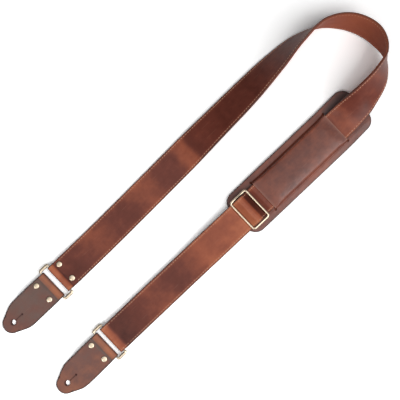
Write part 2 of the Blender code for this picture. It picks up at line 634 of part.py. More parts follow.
def build_pad(slide):
    """Shoulder pad: base, foam under the strap, and the slotted cover."""
    base = rounded_rectangle(PAD_START_X, PAD_END_X, RIGHT_Y, PAD_WIDTH, PAD_CORNER)
    add("pad_base", prism(base, 0.0, PAD_BASE_THICKNESS), "lining_leather", slide)
    foam_start = NEAR_SLOT_X + FOAM_TO_SLOT
    foam_end = FAR_SLOT_X - FOAM_TO_SLOT
    foam_width = STRAP_WIDTH + 2 * FOAM_SIDE_REACH
    foam = rounded_rectangle(foam_start, foam_end, RIGHT_Y, foam_width, FOAM_CORNER)
    add("pad_foam", prism(foam, PAD_FLOOR, PAD_FLOOR + FOAM_THICKNESS), "foam", slide)
    cover = add("pad_cover", pad_cover(), "oiled_leather", slide)
    for name, x in (("near_slot", NEAR_SLOT_X), ("far_slot", FAR_SLOT_X)):
        ends = (x, RIGHT_Y - SLOT_HALF_LENGTH), (x, RIGHT_Y + SLOT_HALF_LENGTH)
        outline = keyhole(ends[0], SLOT_PUNCH / 2, ends[1], SLOT_PUNCH / 2, SLOT_WIDTH)
        combine(cover, f"pad_{name}_cut", prism(outline, -CUT_REACH, CUT_REACH), "DIFFERENCE")


def over_and_under(over, under):
    """Path from the top of the slider's middle bar to the underside of an outer bar, over one, under the other."""
    tilt = math.asin((over + under) / SLIDER_BAR_SPACING)
    top = arc((0.0, SLIDER_HEIGHT), over, math.pi / 2, math.pi / 2 - tilt)
    bottom = arc((SLIDER_BAR_SPACING, SLIDER_HEIGHT), under, 1.5 * math.pi - tilt, 1.5 * math.pi)
    return np.concatenate((top, bottom))


def build_slider_strap(slide):
    """Strap from the seam in the pad, under an outer bar, over the tail's fold and under the other bar."""
    tunnel_z = TUNNEL_FLOOR + LINING_SIDE
    half = over_and_under(OVER_TAIL, UNDER_BAR)
    rise = spaced(SLIDER_BAR_SPACING + PAD_RISE_LENGTH, SLIDER_BAR_SPACING, FOLD_STEP)[:-1]
    lift = smooth((SLIDER_BAR_SPACING + PAD_RISE_LENGTH - rise) / PAD_RISE_LENGTH)
    rise_z = tunnel_z + (half[-1, 1] - tunnel_z) * lift
    path = tidy_path(np.concatenate((
        np.array([(SEAM_X - SEAM_GAP, tunnel_z), ((SEAM_X + rise[0]) / 2, tunnel_z)]),
        np.column_stack((rise, rise_z)),
        half[::-1],
        half[1:] * (-1.0, 1.0),
    )))
    normals = right_normals(path)
    widths = np.full(len(path), HALF_WIDTH)
    for name, low, high, look in (
        ("slider_strap_face", PLY_GAP / 2, FACE_SIDE, "oiled_leather"),
        ("slider_strap_lining", -LINING_SIDE, -PLY_GAP / 2, "lining_leather"),
    ):
        add(name, level_ribbon(path, normals, RIGHT_Y, widths, low, high), look, slide)


def build_tail(slide):
    """Tail: the face leather alone, coming back under the top run, folded round the middle bar and riveted."""
    bar = np.array((0.0, SLIDER_HEIGHT))
    outer_bar = np.array((-SLIDER_BAR_SPACING, SLIDER_HEIGHT))
    flap_drop = UNDER_BAR + LINING_SIDE + CLEARANCE + FACE_THICKNESS
    run_drop = flap_drop + PLY_GAP
    up_tilt = math.asin((run_drop - MIDDLE_HOLLOW) / SLIDER_BAR_SPACING)
    down_tilt = math.asin((flap_drop + MIDDLE_HOLLOW) / SLIDER_BAR_SPACING)
    ply_top = SLIDER_HEIGHT - run_drop
    head = RIVET_HEAD / 2 + CLEARANCE

    def top_of_run(x):
        first = smooth((x + TAIL_START) / (TAIL_START - TAIL_RIVET_ROW - head))
        second = smooth((x + TAIL_RIVET_ROW - head) / TAIL_CLIMB_LENGTH)
        rivet_rise = (TAIL_RIVET_PLY_TOP - FACE_THICKNESS) * first
        return FACE_THICKNESS + rivet_rise + (ply_top - TAIL_RIVET_PLY_TOP) * second

    run_x = spaced(-TAIL_START, -SLIDER_BAR_SPACING, BEND_STEP)[:-1]
    flap_x = spaced(-SLIDER_BAR_SPACING, -TAIL_FLAP, BEND_STEP)[1:]
    path = tidy_path(np.concatenate((
        np.column_stack((run_x, top_of_run(run_x))),
        arc(outer_bar, run_drop, 1.5 * math.pi, 1.5 * math.pi + up_tilt),
        arc(bar, MIDDLE_HOLLOW, -0.5 * math.pi + up_tilt, 0.5 * math.pi + down_tilt),
        arc(outer_bar, flap_drop, 1.5 * math.pi + down_tilt, 1.5 * math.pi),
        np.column_stack((flap_x, top_of_run(flap_x) + PLY_GAP)),
    )))
    widths = np.full(len(path), FOLD_HALF_WIDTH)
    band = level_ribbon(path, right_normals(path), RIGHT_Y, widths, 0.0, FACE_THICKNESS)
    tail = add("tail_fold", band, "oiled_leather", slide)
    drill_rivets(tail, -TAIL_RIVET_ROW, RIGHT_Y)
    under = TAIL_RIVET_PLY_TOP - FACE_THICKNESS
    rivet_pair("tail", -TAIL_RIVET_ROW, RIGHT_Y, under, TAIL_RIVET_PLY_TOP + PLY_GAP + FACE_THICKNESS, slide)


def build_slider(slide):
    """Slider: a wire frame with a middle bar cast into its sides."""
    frame = wire_frame(0.0, RIGHT_Y, SLIDER_HEIGHT, 2 * SLIDER_BAR_SPACING, RING_WIDTH)
    slider = add("slider_frame", frame, "antique_brass", slide, True)
    ends = np.array((RIGHT_Y - RING_WIDTH / 2, RIGHT_Y + RING_WIDTH / 2))
    angles = np.arange(WIRE_SIDES) * 2.0 * math.pi / WIRE_SIDES
    section = MIDDLE_BAR / 2 * np.column_stack((np.cos(angles), np.sin(angles)))
    bar, faces = prism(section, *ends)
    combine(slider, "slider_middle_bar", (bar[:, (0, 2, 1)] + (0.0, 0.0, SLIDER_HEIGHT), faces), "UNION")
    build_slider_strap(slide)
    build_tail(slide)


def build_loop(travel):
    """Adjusting loop: the top run from the slider, the turn round ring 2 and the run back on the table."""
    start_z = SLIDER_HEIGHT - UNDER_BAR
    sag_z = STRAP_THICKNESS + TOP_RUN_GAP + LINING_SIDE
    ring_z = RING_HEIGHT + ROUND_RING
    x = spaced(-SLIDER_BAR_SPACING - SEAM_GAP, RING_2_BAR_X, BEND_STEP)
    sag = smooth((-TAIL_FLAP - x) / SAG_LENGTH)
    rise = smooth((RING_2_BAR_X + RING_RISE_LENGTH - x) / RING_RISE_LENGTH)
    top_z = start_z + (sag_z - start_z) * sag + (ring_z - sag_z) * rise
    back_x = spaced(RING_2_BAR_X, -TAIL_START - SEAM_GAP, RUN_STEP)
    path = tidy_path(np.concatenate((
        np.column_stack((x, top_z)),
        arc((RING_2_BAR_X, RING_HEIGHT), ROUND_RING, 0.5 * math.pi, 1.5 * math.pi),
        np.column_stack((back_x, np.full(len(back_x), RING_HEIGHT - ROUND_RING))),
    )))
    normals = right_normals(path)
    widths = fold_half_width(path[:, 0] - RING_2_BAR_X)
    for name, low, high, look in (
        ("loop_face", PLY_GAP / 2, FACE_SIDE, "oiled_leather"),
        ("loop_lining", -LINING_SIDE, -PLY_GAP / 2, "lining_leather"),
    ):
        add(name, level_ribbon(path, normals, RIGHT_Y, widths, low, high), look, travel)


def centre_on_footprint(strap):
    """Move the layout so that the origin is the middle of its footprint, on the table."""
    bpy.context.view_layer.update()
    pieces = [piece for piece in bpy.data.objects if piece.type == "MESH" and not piece.hide_render]
    corners = np.concatenate([
        np.array([piece.matrix_world @ vertex.co for vertex in piece.data.vertices]) for piece in pieces
    ])
    middle = (corners.min(axis=0) + corners.max(axis=0)) / 2
    strap.location = (-middle[0], -middle[1], 0.0)
    bpy.context.view_layer.update()


def main():
    for leftover in list(bpy.data.objects):
        bpy.data.objects.remove(leftover, do_unlink=True)
    strap = empty("strap", (0.0, 0.0, 0.0))
    ring_1 = empty("ring_1_axis", (RING_1_BAR_X, LEFT_Y, RING_HEIGHT), strap)
    tab_1 = empty("tab_1_axis", (TAB_1_BAR_X, LEFT_Y, RING_HEIGHT), ring_1)
    pad = empty("pad_slide", (PAD_START_X, RIGHT_Y, 0.0), strap)
    slider = empty("slider_slide", (0.0, RIGHT_Y, SLIDER_HEIGHT), strap)
    travel = empty("ring_2_travel", (RING_2_BAR_X, RIGHT_Y, RING_HEIGHT), slider)
    ring_2 = empty("ring_2_axis", (RING_2_BAR_X, RIGHT_Y, RING_HEIGHT), travel)
    tab_2 = empty("tab_2_axis", (TAB_2_BAR_X, RIGHT_Y, RING_HEIGHT), ring_2)
    build_strap(strap)
    build_ring("ring_1", RING_1_BAR_X, LEFT_Y, ring_1)
    build_tab("end_tab_1", TAB_1_BAR_X, LEFT_Y, tab_1)
    build_pad(pad)
    build_slider(slider)
    build_loop(travel)
    build_ring("ring_2", RING_2_BAR_X, RIGHT_Y, ring_2)
    build_tab("end_tab_2", TAB_2_BAR_X, RIGHT_Y, tab_2)
    centre_on_footprint(strap)
    for axis in (strap, ring_1, tab_1, pad, slider, travel, ring_2, tab_2):
        print(axis.name, [round(value, 5) for value in axis.matrix_world.translation])


main()
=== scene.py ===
# %% [markdown]
# # A leather strap with a sliding shoulder pad
# The strap lies on a white table in a long U. Ring 1 and its tab hang on one end; the strap rolls on to its
# edge round the bend, comes back through the slots of a shoulder pad, weaves through a slider, and turns
# round ring 2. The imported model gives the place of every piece, so this lesson starts by loading it.

# %% Load the frame
import json
import math

import bmesh
import bpy
import numpy as np
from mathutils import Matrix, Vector


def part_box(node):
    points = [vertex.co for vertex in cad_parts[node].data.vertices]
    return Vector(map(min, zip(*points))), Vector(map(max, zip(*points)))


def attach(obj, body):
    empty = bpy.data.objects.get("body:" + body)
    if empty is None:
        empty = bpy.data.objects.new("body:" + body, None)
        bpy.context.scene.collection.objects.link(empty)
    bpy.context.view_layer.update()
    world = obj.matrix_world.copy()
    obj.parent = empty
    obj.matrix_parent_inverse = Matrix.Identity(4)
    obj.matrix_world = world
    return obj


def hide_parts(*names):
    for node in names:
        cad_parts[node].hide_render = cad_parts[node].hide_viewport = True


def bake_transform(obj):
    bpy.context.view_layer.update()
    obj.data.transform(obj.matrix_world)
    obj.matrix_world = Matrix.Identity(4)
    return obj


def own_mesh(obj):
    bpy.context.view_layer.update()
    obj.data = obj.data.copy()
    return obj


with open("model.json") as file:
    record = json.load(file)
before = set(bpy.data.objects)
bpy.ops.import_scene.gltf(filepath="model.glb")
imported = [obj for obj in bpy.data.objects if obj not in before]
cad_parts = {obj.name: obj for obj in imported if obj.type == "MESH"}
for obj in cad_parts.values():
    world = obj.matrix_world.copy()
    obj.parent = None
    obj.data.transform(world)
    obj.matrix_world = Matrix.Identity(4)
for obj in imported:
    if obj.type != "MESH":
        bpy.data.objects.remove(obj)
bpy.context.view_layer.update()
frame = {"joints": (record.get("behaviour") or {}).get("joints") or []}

# %% [markdown]
# ## Places and sizes
# The joints say where the ring bars are, and the boxes of the slider and of the pad's base say where those lie.
# The other sizes are the ones the solids were drawn with, apart from SKIN, a hair's breadth that keeps plies
# apart. All of them are metres.

# %% Places and sizes
joints = {joint["name"]: joint for joint in frame["joints"]}
RING_1_BAR = np.array(joints["ring_1_swing"]["pos_m"])
TAB_1_BAR = np.array(joints["tab_1_swing"]["pos_m"])
RING_2_BAR = np.array(joints["ring_2_swing"]["pos_m"])
TAB_2_BAR = np.array(joints["tab_2_swing"]["pos_m"])
SLIDER_BAR = np.array(sum(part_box("slider_frame"), start=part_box("slider_frame")[0] * 0)) / 2
PAD_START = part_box("pad_base")[0].x
PAD_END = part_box("pad_base")[1].x

STRAP_WIDTH = 0.038
HALF_WIDTH = STRAP_WIDTH / 2
FACE = 0.0015
LINING = 0.0012
PLY_GAP = 0.0003
SKIN = 0.00002
CLEARANCE = 0.0003
FACE_SIDE = FACE + PLY_GAP / 2
LINING_SIDE = LINING + PLY_GAP / 2
STRAP_THICKNESS = FACE_SIDE + LINING_SIDE
WIRE = 0.0022
MIDDLE_BAR = 0.0020
BAR_HOLLOW = WIRE / 2 + CLEARANCE
LEFT_Y = RING_1_BAR[1]
RIGHT_Y = RING_2_BAR[1]
LEG_GAP = LEFT_Y - RIGHT_Y
RING_HEIGHT = RING_1_BAR[2]
SLIDER_X = SLIDER_BAR[0]
SLIDER_HEIGHT = SLIDER_BAR[2]
PAD_FLAP = 0.0406
NEAR_SLOT = PAD_START + PAD_FLAP
FAR_SLOT = PAD_END - PAD_FLAP
TUNNEL_FLOOR = 0.0050
TUNNEL_ROOF = 0.0083
SEAM_X = FAR_SLOT - 0.0145
print("slots at", round(NEAR_SLOT, 4), round(FAR_SLOT, 4), "slider at", SLIDER_BAR.round(4))

# %% [markdown]
# ## From arrays to a mesh
# Every piece is a surface worked out with numpy. Leather is a sheet: an upper and a lower grid of points with a
# wall between their borders. Points that fall together, such as the upper and lower rim of a round edge, are
# merged, which closes the shell.

# %% Grids into closed shells
MERGE = 2e-6
SHARP_ANGLE = math.radians(50.0)
LEG_BOW, LEG_BOW_FROM, LEG_BOW_LENGTH = 0.0012, 0.205, 0.045
TAB_BOW, TAB_BOW_FROM, TAB_BOW_LENGTH = 0.0010, -0.20, 0.06


def ease(share):
    """Ease from 0 to 1: 3t^2 - 2t^3, with t held between 0 and 1."""
    share = np.clip(share, 0.0, 1.0)
    return share * share * (3.0 - 2.0 * share)


def quads(grid):
    """The cells of a grid of point numbers, as four corners each."""
    corners = (grid[:-1, :-1], grid[1:, :-1], grid[1:, 1:], grid[:-1, 1:])
    return np.stack(corners, axis=-1).reshape(-1, 4)


def wall(low, high):
    """A strip of cells between two rows of point numbers."""
    return np.column_stack((low[:-1], low[1:], high[1:], high[:-1]))


def tube(points, ring=False):
    """Points round a tube, row by row, as a list with its cells; a ring closes it lengthwise too."""
    index = np.arange(points.size // 3).reshape(points.shape[:2])
    index = np.column_stack((index, index[:, 0]))
    if ring:
        index = np.concatenate((index, index[:1]))
    return points.reshape(-1, 3), quads(index)


def laid_down(points):
    """The leg with the pad lies a little askew: it bows sideways, and tab 2 points a little further out."""
    x, y = points[:, 0], points[:, 1]
    bow = LEG_BOW * ease((LEG_BOW_FROM - x) / LEG_BOW_LENGTH) + TAB_BOW * ease((TAB_BOW_FROM - x) / TAB_BOW_LENGTH)
    return points - np.where(y < 0.0, bow, 0.0)[:, None] * (0.0, 1.0, 0.0)


def make_piece(name, points, faces, marks=None, uv=None):
    """A mesh object from arrays: marks are values at each point, uv is metres along and across the leather."""
    mesh = bpy.data.meshes.new(name)
    mesh.from_pydata(laid_down(points).tolist(), [], faces.tolist())
    for mark, values in (marks or {}).items():
        mesh.attributes.new(mark, "FLOAT", "POINT").data.foreach_set("value", values.astype(np.float32).ravel())
    if uv is not None:
        corner = np.empty(len(mesh.loops), dtype=np.int32)
        mesh.loops.foreach_get("vertex_index", corner)
        mesh.uv_layers.new(name="leather").data.foreach_set("uv", uv[corner].astype(np.float32).ravel())
    shape = bmesh.new()
    shape.from_mesh(mesh)
    bmesh.ops.remove_doubles(shape, verts=shape.verts, dist=MERGE)
    bmesh.ops.dissolve_degenerate(shape, edges=shape.edges, dist=MERGE / 10)
    bmesh.ops.recalc_face_normals(shape, faces=shape.faces)
    shape.to_mesh(mesh)
    shape.free()
    mesh.shade_smooth()
    mesh.set_sharp_from_angle(angle=SHARP_ANGLE)
    piece = bpy.data.objects.new(name, mesh)
    bpy.context.scene.collection.objects.link(piece)
    print(f"{name}: {len(mesh.vertices)} points, {len(mesh.polygons)} faces")
    return piece


def shell(name, high, low, marks, uv, open_columns=(), open_rows=()):
    """A closed sheet between two grids of points. The cells after an open column or row make a hole with walls."""
    rows, columns = high.shape[:2]
    above = np.arange(rows * columns).reshape(rows, columns)
    below = above + rows * columns
    kept = np.ones((rows - 1, columns - 1), dtype=bool)
    faces = []
    for column in open_columns:
        kept[:, column] = False
        faces += [wall(below[:, column], above[:, column]), wall(above[:, column + 1], below[:, column + 1])]
    for row in open_rows:
        kept[row] = False
        faces += [wall(above[row], below[row]), wall(below[row + 1], above[row + 1])]
    faces += [quads(above)[kept.ravel()], quads(below)[kept.ravel()][:, ::-1]]
    faces += [wall(below[:, 0], above[:, 0]), wall(above[:, -1], below[:, -1])]
    faces += [wall(below[0], above[0]), wall(above[-1], below[-1])]
    points = np.concatenate((high, low)).reshape(-1, 3)
    marks = {mark: np.tile(value.ravel(), 2) for mark, value in marks.items()}
    return make_piece(name, points, np.concatenate(faces), marks, np.tile(uv.reshape(-1, 2), (2, 1)))


# %% [markdown]
# ## The strap's way
# A strip of leather can bend and twist but hardly stretch, so its way is given by a line with a roll angle: flat
# on the table by ring 1, rising on to its edge round the bend, and flat again where it enters the pad. The
# points are the ones the solids follow.

# %% The strap's way round the bend
ROUTE_UNIT = 0.010
ROUTE = (
    (-17.2, 1.04, 0, 0.0),
    (-11.0, 1.06, 20, 0.0),
    (-5.0, 1.08, 31, 0.0),
    (0.0, 1.105, 49, 0.02),
    (3.8, 1.11, 69, 0.10),
    (7.3, 1.03, 92, 0.05),
    (9.8, 0.78, 107, 0.02),
    (10.6, 0.48, 104, 0.20),
    (9.9, 0.24, 83, 0.57),
    (7.7, 0.09, 56, 0.80),
    (4.6, 0.02, 35, 0.60),
    (1.7, 0.00, 9, 0.12),
    (0.4, 0.00, 0, 0.0),
)
FOLD_LENGTH = 0.006
END_RIVET_ROW = 0.0103
END_FLAP = 0.0180
SETTLE_LENGTH = 0.050
LEAN, LEAN_FROM, LEAN_SPAN = 3.0, 70.0, 30.0
FOLD_EASE_FROM = 0.0022
DRAWN_IN, DRAWN_LENGTH = 0.0004, 0.010
FINE_STEP = 0.0005
RUN_STEP = 0.0010
SAME_POINT = 1e-7


def stations(start, end, step):
    """Evenly spaced values, about a step apart."""
    return np.linspace(start, end, max(2, int(math.ceil(abs(end - start) / step)) + 1))


def lengths(path):
    """Distance of each point from the start of its line."""
    return np.concatenate(([0.0], np.cumsum(np.linalg.norm(np.diff(path, axis=0), axis=1))))


def values_at(places, along, values):
    """Rows of values at other distances along their line."""
    return np.stack([np.interp(places, along, column) for column in values.T], axis=1)


def even(path, step):
    """A line's points spaced evenly along its own length, and their distances from its start."""
    path = path[np.concatenate(([True], np.diff(lengths(path)) > SAME_POINT))]
    at = stations(0.0, lengths(path)[-1], step)
    return values_at(at, lengths(path), path), at


def unit(vectors):
    """Vectors of length 1."""
    return vectors / np.linalg.norm(vectors, axis=-1, keepdims=True)


def through(rows, step):
    """Cubic Hermite curve through rows of values, with knots at their distances in plan."""
    rows = np.array(rows, dtype=float)
    knots = lengths(rows[:, :2])
    chords = np.diff(knots)
    slopes = np.gradient(rows, knots, axis=0)
    slopes[[0, -1], 1:] = 0.0
    at = stations(0.0, knots[-1], step)
    span = np.clip(np.searchsorted(knots, at, side="right") - 1, 0, len(chords) - 1)
    size = chords[span][:, None]
    share = (at - knots[span])[:, None] / size
    first = (2 * share**3 - 3 * share**2 + 1) * rows[span] + (share**3 - 2 * share**2 + share) * slopes[span] * size
    last = (3 * share**2 - 2 * share**3) * rows[span + 1] + (share**3 - share**2) * slopes[span + 1] * size
    return first + last


def strap_way(step):
    """Middle line, across direction and face normal. The roll lifts the middle by half the width times its sine."""
    rows = [(RING_1_BAR[0] + FOLD_LENGTH, LEFT_Y, 0.0, 0.0)]
    rows += [
        (FAR_SLOT + past * ROUTE_UNIT, RIGHT_Y + share * LEG_GAP, roll, lift * ROUTE_UNIT)
        for past, share, roll, lift in ROUTE
    ]
    rows += [(SEAM_X, RIGHT_Y, 0.0, 0.0)]
    x, y, roll, lift = through(rows, step).T
    roll = np.radians(np.maximum(roll, 0.0) + LEAN * ease((roll - LEAN_FROM) / LEAN_SPAN))
    back = np.arange(len(x)) > np.argmax(x)
    on_pad = np.where(back, 1.0 - ease((x - FAR_SLOT) / (x.max() - FAR_SLOT)), 0.0)
    side = np.where(roll < math.pi / 2, LINING_SIDE, FACE_SIDE)
    z = on_pad * TUNNEL_FLOOR + np.maximum(lift, 0.0) + HALF_WIDTH * np.sin(roll) + side * np.abs(np.cos(roll))
    settled = ease((x - RING_1_BAR[0] - END_FLAP) / SETTLE_LENGTH)
    z = np.where(back, z, z + (RING_HEIGHT - LINING_SIDE) * (1.0 - settled))
    middle = np.column_stack((x, y, z))
    run = unit(np.gradient(middle, axis=0))
    up = np.array((0.0, 0.0, 1.0))
    across = np.cos(roll)[:, None] * unit(np.cross(run, up)) + np.sin(roll)[:, None] * up
    across = unit(across - np.sum(across * run, axis=1)[:, None] * run)
    return middle, across, np.cross(across, run)


def arc(centre, radius, start, end):
    """Points on a circle, 3 degrees apart."""
    angles = stations(start, end, math.radians(3.0))
    return np.column_stack((centre[0] + radius * np.cos(angles), centre[1] + radius * np.sin(angles)))


def fold_hollow(distance):
    """Height of the leather's inner side over the middle plane, past a bar it is folded round."""
    settled = ease((distance - FOLD_EASE_FROM) / (FOLD_LENGTH - FOLD_EASE_FROM))
    return PLY_GAP / 2 + (BAR_HOLLOW - PLY_GAP / 2) * (1.0 - settled)


def fold_line(flap):
    """Inner side of leather folded round a bar at the origin: flap below, turn, start of the top."""
    below = stations(flap, 0.0, FINE_STEP)
    top = stations(0.0, FOLD_LENGTH, FINE_STEP)
    return np.concatenate((
        np.column_stack((below, -fold_hollow(below))),
        arc((0.0, 0.0), BAR_HOLLOW, 1.5 * math.pi, 0.5 * math.pi)[1:-1],
        np.column_stack((top, fold_hollow(top))),
    ))


def in_plane(line, y):
    """A line in the XZ plane as middle, across and outward (left-hand) normal arrays."""
    run = unit(np.gradient(line, axis=0))
    middle = np.column_stack((line[:, 0], np.full(len(line), y), line[:, 1]))
    across = np.tile((0.0, -1.0, 0.0), (len(line), 1))
    return middle, across, np.column_stack((-run[:, 1], np.zeros(len(line)), run[:, 0]))


def fold_half_width(distance):
    """Half width of a strap that is drawn in a little where it goes through a ring."""
    return HALF_WIDTH - DRAWN_IN * (1.0 - ease(distance / DRAWN_LENGTH))


# %% [markdown]
# ## Leather bands
# A band is a sheet whose rows follow the strap's way. Its cut edges are rounded like sanded, painted edges, and
# a shallow groove runs where the thread will lie. Each point remembers how near it is to the cut edge and how far
# the leather has been pulled there: this oiled leather turns lighter where it is bent. The same tone also carries
# painted highlights and painted shade, laid along the straps where light and shade would fall.

# %% Bands of leather
STITCH_INSET = 0.0024
GROOVE_WIDTH = 0.0011
GROOVE_DEPTH = 0.00016
STRAP_STEP = 0.0015
CUT_CORNER = 0.0006
PAINT_FROM = 0.0002
BURNISH, BURNISH_FROM, BURNISH_WIDTH = 0.32, 0.0022, 0.0035
PAINT_FADE, PAINT_FADE_FROM, PAINT_FADE_SPAN = 0.55, 0.3, 0.4
EDGE_COLUMNS = np.array((0.0, 0.00008, 0.0002, 0.00038, 0.0006, 0.0010, 0.0016, 0.0020, 0.0024, 0.0027))
GROOVE_COLUMNS = np.array((0.0031, 0.0035, 0.0038, 0.0042, 0.0050, 0.0070, 0.0095, 0.0125, 0.0155))


def rounded(distance, radius):
    """Drop of a rounded edge: r - sqrt(r^2 - (r - d)^2) at distance d from the cut."""
    inside = np.clip(1.0 - distance / radius, 0.0, 1.0)
    return radius * (1.0 - np.sqrt(1.0 - inside**2))


def band(name, way, along, half, low, high, tone, groove=0, paint=0.0011, cut_ends=True):
    """A strip between two heights over its way; groove is 1 for a stitched upper side, -1 for a lower one.
    The edge paint reaches a little way on to the face; ends that are sewn on have no painted edge,
    and the paint is fainter where the strap stands on its edge."""
    middle, across, normal = way
    inset = np.concatenate((EDGE_COLUMNS, GROOVE_COLUMNS))
    share = np.repeat((-1.0, 0.0, 1.0), (len(inset), 1, len(inset)))
    inset = np.concatenate((inset, (0.0,), inset[::-1]))
    y = share * (half[:, None] - inset)
    to_side = half[:, None] - np.abs(y)
    to_end = np.minimum(along - along[0], along[-1] - along)[:, None] if cut_ends else half[:, None]
    rim = np.minimum(to_side, to_end)
    dip = GROOVE_DEPTH * (1.0 - ease(np.abs(to_side - STITCH_INSET) / GROOVE_WIDTH * 2))
    top = high - rounded(rim, CUT_CORNER if groove >= 0 else CUT_CORNER / 4) - dip * (groove > 0)
    bottom = low + rounded(rim, CUT_CORNER if groove <= 0 else CUT_CORNER / 4) + dip * (groove < 0)
    flat = middle[:, None, :] + y[:, :, None] * across[:, None, :]
    above = flat + top[:, :, None] * normal[:, None, :]
    below = flat + bottom[:, :, None] * normal[:, None, :]
    burnished = BURNISH * (1.0 - ease((to_side - BURNISH_FROM) / BURNISH_WIDTH))
    paint_fade = 1.0 - PAINT_FADE * ease((across[:, 2:] - PAINT_FADE_FROM) / PAINT_FADE_SPAN)
    marks = {"rim": paint_fade * (1.0 - ease((rim - PAINT_FROM) / paint)), "tone": tone[:, None] + burnished}
    uv = np.stack((np.broadcast_to(along[:, None], y.shape), y), axis=-1)
    return shell(name, above, below, marks, uv)


def along_stops(along, stops):
    """Smooth value along a strap, from a few given places."""
    places, values = np.array(stops).T
    span = np.clip(np.searchsorted(places, along, side="right") - 1, 0, len(places) - 2)
    share = ease((along - places[span]) / (places[span + 1] - places[span]))
    return values[span] + (values[span + 1] - values[span]) * share


# %% [markdown]
# ## The long strap
# The face leather starts as a flap under ring 1's bar, turns round it and carries on as the upper ply; the lining
# starts where the flap ends. The tone's stops are places where the leather is pulled light (the turn, the start of
# the roll) or has kept its oil and stays dark. They also paint light and shade: a painted highlight on the crest of
# the turn round ring 1, painted shade on its side towards the ring's window and in the crease behind it, painted
# sheen in a band on the flat leg and just outside the pad's far slot, and painted shade where the strap rolls on to
# its edge and turns its face from the light and where it comes down to the pad.

# %% The long strap
way = strap_way(STRAP_STEP)
line, fold_at = even(fold_line(END_FLAP), 0.0004)
turn = in_plane(line + (RING_1_BAR[0], RING_HEIGHT), LEFT_Y)
top_start = fold_at[-1] - FOLD_LENGTH
face_way = [np.concatenate((first[:-1], second)) for first, second in zip(
    turn, (way[0] + PLY_GAP / 2 * way[2], way[1], way[2]))]
run_at = lengths(way[0]) + FOLD_LENGTH
face_at = np.concatenate((fold_at[:-1] - top_start, run_at))
from_ring = np.hypot(face_way[0][:, 0] - RING_1_BAR[0], face_way[0][:, 1] - LEFT_Y)
STRAP_TONES_AND_PAINTED_LIGHT = (
    (-0.03, 0.0), (-0.0024, -0.4), (-0.0008, 1.0), (0.0012, 1.0), (0.0034, 0.8), (0.0050, 0.1), (0.0062, -0.9),
    (0.0085, -0.3), (0.026, -0.35), (0.05, 0.0), (0.075, 0.05), (0.095, -0.05), (0.115, -0.25), (0.140, 0.25),
    (0.156, 0.15), (0.172, -0.2), (0.196, -0.1), (0.207, 0.55), (0.216, 0.5), (0.226, -0.4), (0.255, -0.2),
    (0.290, -0.4), (0.380, -0.35), (0.420, -0.1), (0.55, -0.15), (run_at[-1] - 0.050, -0.2),
    (run_at[-1] - 0.030, 0.22), (run_at[-1] - 0.020, 0.2), (run_at[-1], -0.1), (1.0, 0.0),
)
strap_tone_and_painted_light = along_stops(face_at, STRAP_TONES_AND_PAINTED_LIGHT)
strap_face = band("strap_face_leather", face_way, face_at, fold_half_width(from_ring), -PLY_GAP / 2 + SKIN, FACE,
                  strap_tone_and_painted_light, groove=1)
behind = run_at > END_FLAP + 0.0006
lining_way = [values[behind] for values in way]
strap_lining = band("strap_lining_leather", lining_way, run_at[behind], fold_half_width(run_at[behind]),
                    -LINING_SIDE, -SKIN, np.zeros(behind.sum()), groove=-1, paint=0.0009)
print("strap length", round(run_at[-1], 3))

# %% [markdown]
# ## Thread
# The two plies are sewn together 2.4 mm in from each edge. A stitch is a short thread that rises out of one
# hole and dives into the next: a tube whose height follows a cosine and whose ends close in a point. Hundreds of
# them are placed at once, each in the frame of the strap where it lies.

# %% Stitches along a strap
STITCH_PITCH = 0.0036
STITCH_LENGTH = 0.0030
THREAD = 0.0007
THREAD_SIDES = 6
THREAD_ROWS = 7
STITCH_RISE, STITCH_DIP = 0.00022, 0.00016


def stitches(name, rows):
    """Thread of several seams. Each seam is (way, distances, half widths, height, first, last) along its strap."""
    share = np.linspace(-1.0, 1.0, THREAD_ROWS)
    angle = np.arange(THREAD_SIDES) * 2.0 * math.pi / THREAD_SIDES
    radius = THREAD / 2 * np.sqrt(np.maximum(1.0 - share**4, 0.0))
    stitch, cells = tube(np.stack((
        np.broadcast_to(STITCH_LENGTH / 2 * share[:, None], (THREAD_ROWS, THREAD_SIDES)),
        radius[:, None] * np.cos(angle),
        STITCH_RISE * np.cos(share * math.pi / 2)[:, None] - STITCH_DIP + radius[:, None] * np.sin(angle),
    ), axis=-1))
    points, faces, count = [], [], 0
    for way, along, half, height, first, last in rows:
        at = np.arange(first, last, STITCH_PITCH)
        middle, across, normal = (values_at(at, along, values) for values in way)
        across, normal = unit(across), unit(normal)
        run = np.cross(normal, across)
        inset = np.interp(at, along, half) - STITCH_INSET
        sense = math.copysign(1.0, height)
        for side in (-1.0, 1.0):
            start = middle + (side * inset)[:, None] * across + height * normal
            placed = start[:, None] + stitch[:, :1] * run[:, None] + stitch[:, 1:2] * across[:, None]
            placed = placed + sense * stitch[:, 2:] * normal[:, None]
            points.append(placed.reshape(-1, 3))
            numbers = np.arange(len(at))[:, None, None] * len(stitch) + cells + count
            faces.append(numbers.reshape(-1, 4))
            count += len(points[-1])
    return make_piece(name, np.concatenate(points), np.concatenate(faces))


SINK = GROOVE_DEPTH
strap_thread = stitches("strap_thread", (
    (face_way, face_at, fold_half_width(from_ring), FACE - SINK, 0.016, run_at[-1] - 0.012),
    (lining_way, run_at[behind], fold_half_width(run_at[behind]), -LINING_SIDE + 2.5 * SINK, 0.024, run_at[-1] - 0.012),
))

# %% [markdown]
# ## Slider, loop and tail
# Past the pad the strap goes under the slider's outer bar, over the middle bar (which the tail is folded round)
# and under the other bar. It runs on to ring 2, round it, and back on the table. These runs are lines in the XZ
# plane made of arcs round the bars and eased slopes between them.

